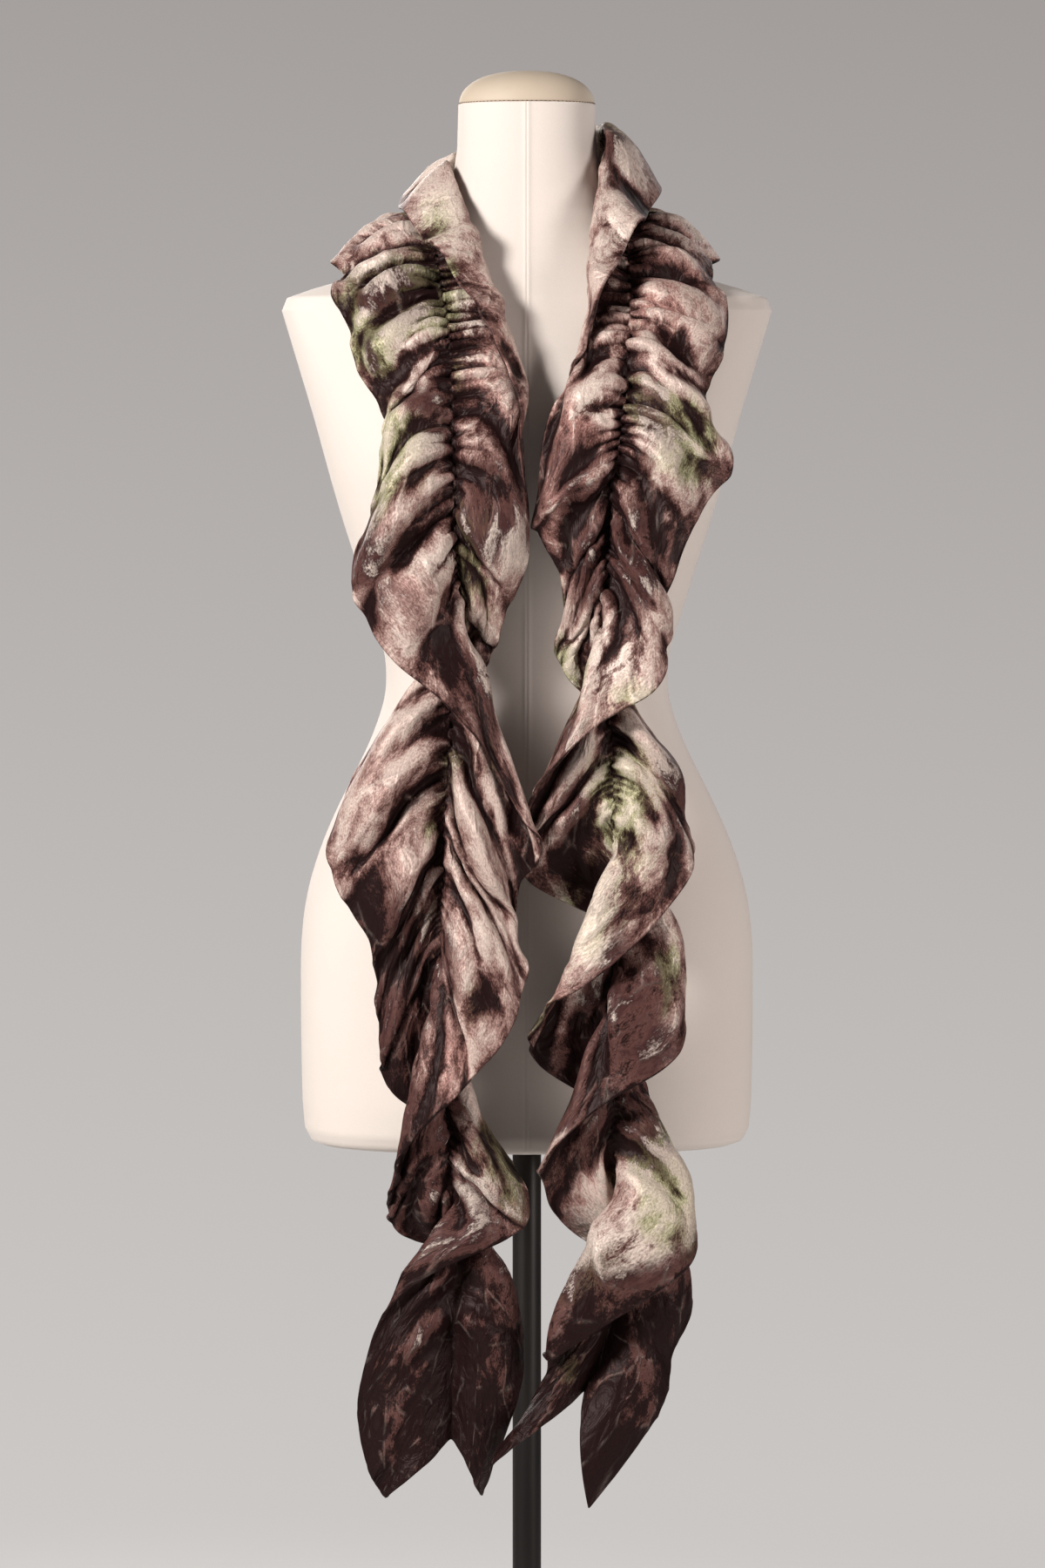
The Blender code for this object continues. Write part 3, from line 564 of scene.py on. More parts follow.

# ---------------------------------------------------------------- the dye
# Patches of dye on the front, and one plum patch of painted shade, as marked. wing: -1 outer, 1
# inner, 0 both. wide and tall: half sizes.
DYE_COLUMNS = ("x", "z", "wide", "tall", "wing", "dye", "strength")
DYES = [
    (-72, 1452, 26, 30, 0, "sage", 0.8),
    (-140, 1376, 12, 18, -1, "olive", 0.6),
    (-56, 1400, 10, 16, 0, "lime", 0.6),
    (-104, 890, 26, 50, -1, "moss", 0.7),
    (-28, 985, 16, 40, 1, "olive", 0.5),
    (-44, 850, 16, 26, 0, "olive", 0.4),
    (10, 845, 12, 18, 0, "lime", 0.9),
    (108, 880, 10, 30, 0, "olive", 0.6),
    (84, 1082, 24, 14, 0, "olive", 0.5),
    (36, 572, 16, 22, 0, "lime", 0.6),
    (112, 730, 14, 40, 0, "olive", 0.5),
    (-92, 1400, 34, 16, -1, "moss", 0.8),
    (-132, 1402, 16, 14, -1, "rose", 0.7),
    (-68, 1372, 14, 26, 0, "olive", 0.7),
    (-60, 1320, 12, 30, 1, "olive", 0.5),
    (-114, 1232, 14, 30, -1, "lime", 0.6),
    (-60, 1034, 30, 16, -1, "olive", 0.5),
    (-120, 1002, 12, 30, -1, "olive", 0.5),
    (-8, 708, 14, 26, 0, "olive", 0.8),
    (-42, 695, 28, 30, 0, "rose", 1.0),
    (-36, 712, 22, 34, 0, "pale", 0.7),
    (-88, 700, 16, 40, 0, "plum", 0.9),
    (-100, 1150, 24, 20, -1, "plum", 0.5),
    (-35, 1345, 30, 55, 1, "rose", 0.7),
    (-52, 1362, 14, 40, 1, "pale", 0.8),
    (-118, 1402, 25, 12, -1, "pale", 0.7),
    (-98, 1386, 30, 9, -1, "plum", 0.8),
    (-92, 1362, 32, 9, -1, "olive", 0.6),
    (-130, 1352, 14, 28, -1, "olive", 0.9),
    (-90, 1332, 26, 44, -1, "pale", 0.5),
    (-74, 1288, 12, 34, -1, "plum", 0.7),
    (-100, 1312, 12, 18, -1, "redplum", 0.6),
    (-96, 1224, 30, 22, -1, "plum", 0.4),
    (-114, 1338, 14, 24, -1, "olive", 0.9),
    (-104, 1262, 28, 42, -1, "lime", 1.0),
    (-125, 1188, 16, 26, -1, "plum", 1.0),
    (-119, 1328, 6, 22, -1, "plum", 0.7),
    (-32, 1218, 30, 46, 1, "plum", 0.8),
    (-44, 1180, 16, 50, 1, "olive", 0.9),
    (-20, 1232, 20, 40, 1, "rose", 0.6),
    (-3, 1192, 10, 11, 1, "pale", 0.9),
    (-96, 1158, 34, 30, -1, "rose", 0.4),
    (-70, 1185, 22, 12, -1, "pale", 0.7),
    (-30, 1085, 30, 60, -1, "redplum", 0.8),
    (-95, 1068, 30, 14, -1, "sage", 0.9),
    (-84, 1012, 24, 26, -1, "pale", 0.25),
    (-96, 1012, 36, 44, -1, "plum", 0.75),
    (-98, 978, 32, 34, -1, "plum", 0.55),
    (-30, 850, 22, 44, 1, "plum", 0.4),
    # Painted shade: this plum patch darkens the gutters between the left shoulder's folds.
    (-96, 1386, 30, 22, -1, "plum", 0.5),
    (-66, 1300, 14, 44, -1, "redplum", 0.3),
    (-118, 1030, 12, 40, -1, "redplum", 0.5),
    (-75, 1042, 20, 10, -1, "plum", 0.7),
    (-128, 956, 18, 14, -1, "sage", 0.8),
    (-108, 922, 26, 36, -1, "moss", 1.0),
    (-92, 878, 34, 48, 0, "plum", 1.1),
    (-112, 872, 16, 44, -1, "moss", 0.7),
    (-104, 800, 20, 50, 0, "plum", 0.9),
    (-52, 985, 14, 60, 1, "olive", 0.9),
    (-12, 962, 12, 24, 1, "pale", 1.0),
    (-20, 934, 16, 16, 1, "lime", 0.8),
    (-42, 905, 28, 30, 0, "pale", 0.35),
    (-55, 820, 28, 50, 0, "rose", 0.5),
    (-80, 750, 34, 38, 0, "redplum", 0.9),
    (-25, 742, 22, 28, 0, "moss", 0.7),
    (-18, 700, 18, 22, 0, "rose", 0.7),
    (66, 1452, 22, 64, 1, "pale", 0.5),
    (70, 1470, 20, 26, 1, "plum", 0.3),
    (60, 1506, 12, 14, 1, "plum", 0.6),
    (104, 1390, 40, 42, -1, "rose", 0.7),
    (80, 1404, 22, 10, -1, "plum", 0.8),
    (76, 1300, 18, 20, -1, "moss", 0.6),
    (120, 1276, 22, 36, -1, "olive", 1.0),
    (128, 1244, 16, 16, -1, "pale", 0.4),
    (96, 1290, 16, 26, -1, "plum", 0.5),
    (28, 1280, 26, 50, 1, "rose", 0.6),
    (30, 1248, 36, 44, 1, "redplum", 0.7),
    (48, 1302, 14, 22, 1, "pale", 0.6),
    (5, 1265, 7, 34, 1, "redplum", 0.8),
    (36, 1190, 22, 50, 1, "rose", 0.6),
    (62, 1178, 38, 36, 0, "plum", 0.8),
    (85, 1192, 20, 56, 0, "redplum", 0.8),
    (60, 1112, 30, 30, 0, "pale", 0.8),
    (30, 1090, 14, 30, 0, "lime", 0.9),
    (28, 1056, 18, 20, 0, "plum", 0.6),
    (18, 1122, 6, 40, 0, "lime", 0.9),
    (30, 985, 16, 46, 0, "redplum", 0.8),
    (72, 1002, 26, 50, 0, "lime", 0.9),
    (60, 982, 10, 40, 0, "pale", 0.8),
    (114, 1010, 20, 54, 0, "plum", 0.8),
    (45, 908, 32, 36, 0, "sage", 0.9),
    (62, 900, 12, 34, 0, "plum", 0.5),
    (16, 860, 14, 26, 0, "rose", 0.6),
    (80, 852, 38, 50, 0, "redplum", 0.8),
    (112, 862, 12, 44, 0, "olive", 0.4),
    (30, 772, 22, 40, 0, "plum", 0.7),
    (102, 706, 28, 50, 0, "lime", 1.0),
    (78, 668, 40, 36, 0, "pale", 0.6),
    (80, 812, 46, 38, 0, "redplum", 0.9),
    (84, 760, 34, 34, 0, "redplum", 0.8),
    (44, 642, 34, 28, 0, "sage", 1.0),
    (48, 700, 20, 36, 0, "rose", 0.5),
    (122, 616, 24, 52, 0, "plum", 1.0),
    (-70, 535, 120, 118, 0, "black", 1.5),
    (80, 530, 120, 84, 0, "black", 1.5),
    (100, 560, 20, 40, 0, "redplum", 0.6),
    (-60, 560, 16, 60, 0, "rose", 0.6),
]
DYE_BAYS = ((9, 24), (4, 9))  # how deep and how wide the bays in a patch's outline are
DYE_SEED = 31
DYE_LIMIT = 1.7  # the cloth takes no more of one bath than this
DYE_RUNS_ON = 0.15  # how much of a wing's patch the other wing takes
DYE_HIDDEN = (-40, 20)  # y where the back's random patches begin, and where the table's end
BACK_PATCHES = (62, 48, 55, 70)  # sizes of the back's patches, for each bath
BACK_STRENGTH = 0.8
BACK_SEED = 40

# How much of each of the four bath colours a dye takes: olive, plum, pale, rose.
BATHS = dict(
    lime=(1.0, 0.0, 0.35, 0.0),
    olive=(1.0, 0.2, 0.0, 0.0),
    moss=(1.0, 0.45, 0.0, 0.0),
    sage=(0.6, 0.0, 0.75, 0.0),
    pale=(0.0, 0.0, 1.0, 0.1),
    rose=(0.0, 0.1, 0.2, 1.0),
    plum=(0.0, 1.0, 0.0, 0.0),
    redplum=(0.0, 0.75, 0.0, 0.7),
    black=(0.0, 1.6, 0.0, 0.15),
)

# ---------------------------------------------------------------- colours (linear)
DARK = (0.0120, 0.0042, 0.0042)
BROWN = (0.100, 0.044, 0.038)
MAUVE = (0.320, 0.205, 0.180)
ROSE = (0.330, 0.168, 0.145)
PALE = (0.640, 0.530, 0.465)
OLIVE = (0.320, 0.305, 0.180)
MOSS = (0.080, 0.074, 0.034)
PLUM = (0.036, 0.0125, 0.0135)
GLOSS = (1.0, 0.86, 0.82, 1.0)
FORM_IVORY = (0.665, 0.595, 0.545)
FORM_SHADE = (0.62, 0.545, 0.495)
FORM_WEAVE = (0.52, 0.455, 0.41)
CAP_CREAM = (0.50, 0.415, 0.325)
CAP_SHADE = (0.46, 0.37, 0.28)
THREAD_DARK = (0.10, 0.055, 0.03)
THREAD_LIGHT = (0.24, 0.15, 0.09)
POLE_GREY = (0.012, 0.0095, 0.009)
POLE_WORN = (0.024, 0.020, 0.018)
FLOOR_GREY = (0.72, 0.71, 0.70, 1)


def columns_of(rows, names):
    """Turn a table's rows into one array for each named column."""
    table = np.array(rows, dtype=float)
    return {name: table[:, i] for i, name in enumerate(names)}


def form_radius(angle, height):
    """Distance of the form's surface from its axis, at an angle and a height."""
    wide = np.interp(height, FORM["height"], FORM["half_width"])
    front = np.interp(height, FORM["height"], FORM["front"])
    back = np.interp(height, FORM["height"], FORM["back"])
    deep = np.where(np.sin(angle) < 0, front, back)
    across = np.abs(np.cos(angle)) / wide
    along = np.abs(np.sin(angle)) / deep
    radius = (across**FORM_SQUARENESS + along**FORM_SQUARENESS) ** (-1 / FORM_SQUARENESS)
    side = np.abs(radius * np.cos(angle)) - BUST["apart"]
    rise = height - BUST["height"]
    swell = BUST["swell"] * np.exp(-(side**2 + rise**2) / (2 * BUST["spread"] ** 2))
    return radius + swell * np.clip(-BUST["facing"] * np.sin(angle), 0, 1)


def form_slope(angle, height, reach):
    """How fast the form widens with height, measured over a reach above and below."""
    above = form_radius(angle, height + reach)
    return (above - form_radius(angle, height - reach)) / (2 * reach)


def keep_off_form(points, clearance):
    """Move points that are too near the form straight out from its surface, in a few rounds."""
    points = points.copy()
    for _ in range(PUSH_ROUNDS):
        angle = np.arctan2(points[..., 1], points[..., 0])
        radial = np.hypot(points[..., 0], points[..., 1])
        surface = form_radius(angle, points[..., 2])
        slope = form_slope(angle, points[..., 2], PUSH_SLOPE_REACH)
        level = 1 / np.sqrt(1 + slope**2)
        lack = np.clip(clearance - (radial - surface) * level, 0, PUSH_LIMIT)
        lack = np.where(points[..., 2] > NECK_TOP, 0, lack)
        points[..., 0] += lack * level * np.cos(angle)
        points[..., 1] += lack * level * np.sin(angle)
        points[..., 2] -= lack * level * slope
    return points


def form_facing(points):
    """The way the form's surface faces nearest to each point."""
    angle = np.arctan2(points[..., 1], points[..., 0])
    slope = form_slope(angle, points[..., 2], FACING_SLOPE_REACH)
    level = 1 / np.sqrt(1 + slope**2)
    return np.stack([level * np.cos(angle), level * np.sin(angle), -level * slope], axis=-1)


def softened(values):
    """Round off the corners between a table's rows. One value stands for each millimetre."""
    reach = int(3 * SMOOTHING)
    window = np.exp(-0.5 * (np.arange(-reach, reach + 1) / SMOOTHING) ** 2)
    window /= window.sum()
    padded = np.pad(values, reach, mode="reflect", reflect_type="odd")
    return np.convolve(padded, window, mode="valid")


def form_profile():
    """The form's widths and depths at each millimetre of its height, without corners."""
    sections = columns_of(FORM_SECTIONS, FORM_COLUMNS)
    heights = np.arange(sections["height"][0], sections["height"][-1] + 1)
    low, high = FORM_ROUNDED
    from_low = np.clip((heights - low) / FORM_ROUNDED_FADE, 0, 1)
    even = from_low * np.clip((high - heights) / FORM_ROUNDED_FADE, 0, 1)
    profile = {}
    for name, column in sections.items():
        sharp = np.interp(heights, sections["height"], column)
        profile[name] = sharp + (softened(sharp) - sharp) * even
    return profile


FORM = form_profile()


def bezier(a, b, c, d, t):
    """A curve from a to d that sets out towards b and comes in from c."""
    s = 1 - t
    return s**3 * a + 3 * s * s * t * b + 3 * s * t * t * c + t**3 * d


def wavy(along, waves, base=0.0):
    """A line that strays from its base by the sum of some sine waves."""
    return sum((size * np.sin(along / length + start) for size, length, start in waves), base)


def hills(u, v, size, seed):
    """Smooth random hills of about that size, from -1 to 1."""
    rows, columns = HILL_GRID
    heights = np.random.default_rng(seed).uniform(-1, 1, HILL_GRID)
    u, v = u / size, v / size
    i, j = np.floor(u).astype(int), np.floor(v).astype(int)
    a, b = u - i, v - j
    a, b = a * a * (3 - 2 * a), b * b * (3 - 2 * b)
    j, k = j % columns, (j + 1) % columns
    near = heights[i % rows, j] * (1 - b) + heights[i % rows, k] * b
    far = heights[(i + 1) % rows, j] * (1 - b) + heights[(i + 1) % rows, k] * b
    return near * (1 - a) + far * a


class Band:
    """The whole scarf as a surface: a place along its spine and a place across it."""

    def __init__(self):
        knots = np.array(LEFT_SPINE + NECK_SPINE + RIGHT_SPINE, dtype=float)
        steps = np.linalg.norm(np.diff(knots, axis=0), axis=1)
        self.knots_at = np.concatenate([[0], np.cumsum(steps)])
        self.length = self.knots_at[-1]
        self.neck_knots = self.knots_at[len(LEFT_SPINE) : len(LEFT_SPINE) + len(NECK_SPINE)]
        self.knots = knots
        self.ruler = np.arange(0, self.length + 1)
        self.spine = self.spread(self.knots_at, knots, SPINE_COLUMNS)
        self.outer = self.wing(LEFT_OUTER, NECK_OUTER, RIGHT_OUTER, WING_COLUMNS)
        self.inner = self.wing(LEFT_INNER, [], RIGHT_INNER, WING_COLUMNS)
        self.collar = self.wing(LEFT_COLLAR, NECK_COLLAR, RIGHT_COLLAR, COLLAR_COLUMNS)
        self.roll = self.roll_share()
        self.outer_tips = self.tips(-1)
        self.inner_tips = self.tips(1)
        self.outer_calm = self.calm(self.outer["turn"])
        self.inner_calm = self.calm(self.inner["turn"])
        self.pucker_phase = np.cumsum(1 / wavy(self.ruler, PITCH_WAVES, PUCKER_PITCH))
        places = [self.place(at, side < 0) for side, at, _ in GATHERS]
        self.gathers = self.spread(places, GATHERS, GATHER_COLUMNS)["strength"]
        self.swags = {wing: self.swag_rows(seed) for wing, seed in SWAG_SEEDS.items()}

    def swag_rows(self, seed):
        """Where a wing's larger folds leave the gathers, with each one's own sizes."""
        chance = np.random.default_rng(seed)
        rows, middle = [], END_GATHERS[0] * SWAG_START
        while middle < self.length - END_GATHERS[0] * SWAG_START:
            sizes = [chance.uniform(*span) for span in (SWAG_HEIGHT, SWAG_WIDTH, SWAG_REACH)]
            rows.append((middle, *sizes, chance.uniform(*SWAG_LEAN)))
            middle += chance.uniform(*SWAG_GAP)
        return rows

    def calm(self, turn):
        """1 where a wing lies still to one side, so that its spare length goes into folds."""
        still = np.exp(-np.abs(np.gradient(turn)) / STILL_TURN)
        return softened(still * np.cos(np.radians(turn)) ** 2)

    def tips(self, wing):
        """How much longer each millimetre's rib is where the free edge comes to a point."""
        longer = np.zeros(len(self.ruler))
        for row in TIPS:
            tip = dict(zip(TIP_COLUMNS, row))
            if tip["wing"] == wing:
                off = np.abs(self.ruler - self.place(tip["at"], tip["side"] < 0))
                longer += tip["long"] * np.exp(-off / tip["width"])
        return longer

    def place(self, height, left):
        """How far along the spine it passes a height, on the left or the right."""
        half = self.length / 2
        side = self.knots_at < half if left else self.knots_at > half
        where = self.knots_at[side]
        heights = self.knots[side, 2]
        rising = np.argsort(heights)
        return float(np.interp(height, heights[rising], where[rising]))

    def spread(self, places, rows, names):
        """Spread a table's columns over the whole spine, rounded between the rows."""
        columns = columns_of(rows, names)
        return {
            name: softened(np.interp(self.ruler, places, column))
            for name, column in columns.items()
        }

    def wing(self, left, neck, right, names):
        """Join the tables of the left side, the neck and the right side."""
        places = [self.place(row[0], True) for row in left]
        places += list(self.neck_knots[: len(neck)])
        places += [self.place(row[0], False) for row in right]
        rows = [row[1:] for row in left] + list(neck) + [row[1:] for row in right]
        return self.spread(places, rows, names[1:])

    def roll_share(self):
        """1 where the inner wing is rolled over as a collar, 0 where it hangs."""
        places = [
            self.place(ROLL_ENDS["left_from"], True),
            self.place(ROLL_ENDS["left_full"], True),
            self.place(ROLL_ENDS["right_full"], False),
            self.place(ROLL_ENDS["right_from"], False),
        ]
        return softened(np.interp(self.ruler, places, [0, 1, 1, 0]))

    def looseness(self, along):
        """0 at the band's flat ends, 1 where it is gathered."""
        from_end = np.minimum(along, self.length - along)
        return np.interp(from_end, END_GATHERS, (0, 1))

    def at(self, column, along):
        """A column's value at each place along the spine."""
        return np.interp(along, self.ruler, column)

    def point(self, table, along, names):
        """The point that three columns give at each place along the spine."""
        return np.stack([self.at(table[name], along) for name in names], axis=-1)

    def hanging_rib(self, root, wing, along, share, tips):
        """A rib of a hanging wing leaves the spine level and bends down to its free edge."""
        turn = np.radians(self.at(wing["turn"], along))
        ease = np.where(np.sin(turn) < 0, FRONT_EASE, BACK_EASE)
        out = np.stack([np.cos(turn), np.sin(turn) * ease, 0 * turn], axis=-1)
        out = out * self.at(wing["reach"], along)[..., None]
        down = np.zeros_like(out)
        down[..., 2] = -self.at(wing["drop"], along)
        size = np.linalg.norm(out + down, axis=-1, keepdims=True)
        longer = self.at(tips, along) + self.wander(along) * self.looseness(along)
        longer = 1 + longer[..., None] / size
        out, down = out * longer, down * longer
        rise = SPINE_SINK * np.cos(turn) ** 4 * self.looseness(along)
        rise = rise[..., None] * form_facing(root)
        near = root + RIB_NEAR[0] * out + RIB_NEAR[1] * down + rise
        far = root + RIB_FAR[0] * out + RIB_FAR[1] * down + 0.5 * rise
        from_end = np.minimum(along, self.length - along)
        straight = np.clip(1 - from_end / END_STRAIGHT, 0, 1)[..., None]
        near += (root + (out + down) / 3 - near) * straight
        far += (root + (out + down) * 2 / 3 - far) * straight
        return bezier(root, near, far, root + out + down, share)

    def wander(self, along):
        """How far a free edge strays from its smooth line."""
        return EDGE_WANDER * wavy(along, EDGE_WAVES)

    def behind(self, along):
        """0 where the cloth hangs in front, 1 round the sides and back of the neck."""
        front, side = NECK_SIDES
        return np.clip((self.at(self.spine["y"], along) - front) / (side - front), 0, 1)

    def rolled_rib(self, root, along, share):
        """A rib of the collar goes up to the crest and falls back over itself."""
        crest = self.point(self.collar, along, ("crest_x", "crest_y", "crest_z"))
        edge = self.point(self.collar, along, ("edge_x", "edge_y", "edge_z"))
        edge[..., 2] += self.wander(along)
        middle = (8 * crest - root - edge) / 6  # so that the curve's middle is the crest
        away = edge - root
        away = away / np.maximum(np.linalg.norm(away, axis=-1, keepdims=True), 1.0)
        near = middle - ROLL_PUFF * away
        far = middle + ROLL_PUFF * away
        return bezier(root, near, far, edge, share)

    def smooth_surface(self, along, across):
        """The cloth without its gathers: across is -1 at the outer edge, 1 at the inner one."""
        along, across = np.broadcast_arrays(np.asarray(along, float), np.asarray(across, float))
        root = self.point(self.spine, along, SPINE_COLUMNS)
        share = np.abs(across)[..., None]
        outer = self.hanging_rib(root, self.outer, along, share, self.outer_tips)
        hanging = self.hanging_rib(root, self.inner, along, share, self.inner_tips)
        rolled = self.rolled_rib(root, along, share)
        inner = hanging + (rolled - hanging) * self.at(self.roll, along)[..., None]
        points = np.where(across[..., None] < 0, outer, inner)
        return keep_off_form(points, CLOTH_CLEARANCE)

    def facing(self, along, across):
        """The way the cloth's hidden side faces."""
        down = self.smooth_surface(along + NORMAL_REACH, across)
        down = down - self.smooth_surface(along - NORMAL_REACH, across)
        over = self.smooth_surface(along, np.clip(across + NORMAL_SHARE, -1, 1))
        over = over - self.smooth_surface(along, np.clip(across - NORMAL_SHARE, -1, 1))
        facing = np.cross(down, over)
        size = np.linalg.norm(facing, axis=-1, keepdims=True)
        return facing / np.maximum(size, 1e-6)

    def puckers(self, along, share, wing):
        """The gathers: round crests with sharp valleys, each with its own height and length."""
        phase = self.at(self.pucker_phase, along) + 0.5 * wing
        count = np.floor(phase).astype(int) % PUCKER_COUNT
        chance = np.random.default_rng(PUCKER_SEED).uniform(0, 1, (2, PUCKER_COUNT))
        reach = PUCKER_REACH[0] + (PUCKER_REACH[1] - PUCKER_REACH[0]) * chance[0][count] ** 2
        height = PUCKER_HEIGHT * (PUCKER_LEAST + PUCKER_SPREAD * chance[1][count])
        crest = np.abs(np.sin(np.pi * phase)) ** 0.8 * height * np.exp(-((share / reach) ** 2))
        base = PUCKER_BASE * PUCKER_HEIGHT * np.exp(-((share / PUCKER_REACH[0]) ** 2))
        return (crest - base) * self.looseness(along) * self.at(self.gathers, along)

    def waves(self, along, across):
        """The wide folds and ruffles of the wings."""
        share = np.abs(across)
        inside = self.looseness(along)
        wing = np.where(across < 0, 0.0, 1.0)
        calm_outer = self.at(self.outer_calm, along)
        calm_inner = self.at(self.inner_calm, along) * (1 - self.at(self.roll, along))
        calm = np.where(across < 0, calm_outer, calm_inner)
        round_neck = np.where(across < 0, BACK_WAVES, ROLL_WAVES * np.clip(2 * share - 0.8, 0, 1))
        calm = np.maximum(calm, round_neck * self.behind(along))
        phase = 2 * np.pi * along / FOLD_LENGTH + FOLD_RIPPLE * wing
        for k, (size, length) in enumerate(FOLD_DRIFTS):
            phase = phase + size * np.sin(along / length + (k + 1) * wing)
        fold = np.sin(phase) * FOLD_HEIGHT * calm * inside * np.sin(np.pi * share**0.75) ** 2
        size, length = RUFFLE_DRIFT
        phase = 2 * np.pi * along / RUFFLE_LENGTH + size * np.sin(along / length)
        grow = np.clip((share - RUFFLE_FROM) / (1 - RUFFLE_FROM), 0, 1)
        ruffle = np.sin(phase + FOLD_RIPPLE * wing) * RUFFLE_HEIGHT * calm * grow
        return fold + ruffle

    def large_folds(self, along, across):
        """How far the folds of the table stand out, and how far they lean, at each point."""
        out = np.zeros(np.shape(along))
        lean = np.zeros(np.shape(along))
        for row in LARGE_FOLDS + FOLDS_BETWEEN:
            fold = dict(zip(FOLD_COLUMNS, row))
            middle = self.place(fold["at"], fold["side"] < 0)
            share = np.clip(across * fold["wing"], 0, 1)
            bump = np.exp(-(((along - middle) / fold["width"]) ** 2))
            bump = bump * np.sin(np.pi * share / FOLD_TAIL) ** 1.5
            out = out + fold["height"] * bump
            lean = lean + fold["lean"] * bump * fold["side"]
        return out, lean

    def swag(self, along, across):
        """The larger folds that run out from the gathers, at places of their own."""
        out = np.zeros(np.shape(along))
        share = np.abs(across)
        for wing, rows in self.swags.items():
            on_wing = np.where(across * wing > 0, 1.0, 0.0)
            for middle, height, width, reach, lean in rows:
                wide = width * (0.8 + 1.3 * share)
                centre = middle + lean * share + 3 * np.sin(4 * share + middle)
                run = np.clip(share / reach, 0, 1)
                bump = np.exp(-(((along - centre) / wide) ** 2)) * np.sin(np.pi * run**0.6) ** 0.8
                out = out + height * bump * on_wing
        rolled = np.where(across > 0, self.at(self.roll, along), 0)
        return out * (1 - (1 - SWAG_ON_ROLL) * rolled)

    def creases(self, along, across):
        """The ridges and troughs placed one by one."""
        out = np.zeros(np.shape(along))
        for row in CREASES:
            crease = dict(zip(CREASE_COLUMNS, row))
            share = across * crease["wing"]
            run = np.clip((share - crease["start"]) / (crease["end"] - crease["start"]), 0, 1)
            wander = CREASE_WANDER * np.sin(5 * share + crease["at"])
            sink = crease["lean"] * share + wander * share
            middle = self.place(crease["at"], crease["side"] < 0) + crease["side"] * sink
            width = crease["width"] * (0.7 + 0.7 * np.clip(share, 0, 1))
            bump = np.exp(-(((along - middle) / width) ** 2)) * np.sin(np.pi * run) ** 0.7
            out = out + crease["height"] * bump
        return out * CREASE_DEPTH

    def surface(self, along, across):
        """The middle of the wall with its folds and creases, as the cloth is laid."""
        along, across = np.broadcast_arrays(np.asarray(along, float), np.asarray(across, float))
        out, lean = self.large_folds(along, across)
        facing = self.facing(along + lean, across)
        points = self.smooth_surface(along + lean, across)
        behind = self.behind(along)[..., None]
        away = (1 - behind) * np.array([0, -1, 0]) + behind * form_facing(points)
        front = facing * np.tanh(4 * (facing * away).sum(axis=-1, keepdims=True))
        points = points + facing * self.waves(along, across)[..., None]
        out = out + self.creases(along, across) + self.swag(along, across)
        flat_end = 1 - self.looseness(along)
        out = out + END_BULGE * flat_end * np.sin(np.pi * np.abs(across)) ** 0.8
        points = points + front * out[..., None]
        return keep_off_form(points, FOLDED_CLEARANCE)

    def relief(self, along, across):
        """How far the gathers and the crushed cloth's dents stand out of the folds."""
        wing = np.where(across < 0, 0.0, 1.0)
        raised = self.puckers(along, np.abs(across), wing)
        u, v = along * CUT_FULLNESS, across * CUT_WIDTH / 2
        for k, (size, height) in enumerate(CRUSH_HILLS):
            dent = hills(u + 0.6 * v, v - 0.3 * u, size, CRUSH_SEED + k)
            raised = raised + height * (0.5 - np.abs(dent)) * np.clip(4 * np.abs(across), 0, 1)
        return raised


def unit(vectors):
    """The same directions with a length of 1."""
    return vectors / np.maximum(np.linalg.norm(vectors, axis=-1, keepdims=True), 1e-9)


def wing_places(steps, bend=1.0):
    """Places across the whole band, from its outer edge at -1 to its inner edge at 1."""
    wing = (np.arange(steps + 1) / steps) ** bend
    return np.concatenate([-wing[:0:-1], wing])


def resampled(values, places):
    """Read a row of points, or rows of points, at places between them, along a smooth curve."""
    count = len(values)
    first = np.clip(np.floor(places).astype(int), 0, count - 2)
    t = (places - first).reshape((-1,) + (1,) * (values.ndim - 1))
    a, b = values[np.maximum(first - 1, 0)], values[first]
    c, d = values[first + 1], values[np.minimum(first + 2, count - 1)]
    slope_b, slope_c = (c - a) / 2, (d - b) / 2
    u = t * t
    v = u * t
    near = (2 * v - 3 * u + 1) * b + (v - 2 * u + t) * slope_b
    return near + (3 * u - 2 * v) * c + (v - u) * slope_c


def cut_cloth(band, along, start):
    """The cloth as it was cut, flat, with spare length beside its gathered line."""
    spacing = np.linalg.norm(np.diff(start, axis=0), axis=-1)
    laid = np.linalg.norm(np.diff(band.point(band.spine, along, SPINE_COLUMNS), axis=0), axis=-1)
    loose = band.looseness((along[1:] + along[:-1]) / 2)
    need = np.maximum(laid * (1 + (DRAPE_FULLNESS - 1) * loose), np.percentile(spacing, 80, axis=1))
    window = np.ones(2 * DRAPE_EVEN + 1) / (2 * DRAPE_EVEN + 1)
    need = np.convolve(np.pad(need, DRAPE_EVEN, mode="edge"), window, mode="valid")
    ribs = np.linalg.norm(np.diff(start, axis=1), axis=-1)
    ribs = np.concatenate([np.zeros((DRAPE_ROWS, 1)), np.cumsum(ribs, axis=1)], axis=1)
    ribs = ribs - ribs[:, DRAPE_WING : DRAPE_WING + 1]
    flat_x = np.concatenate([[0], np.cumsum(need)])[:, None] + 0 * ribs
    return np.stack([flat_x, ribs, 0 * ribs], axis=-1)


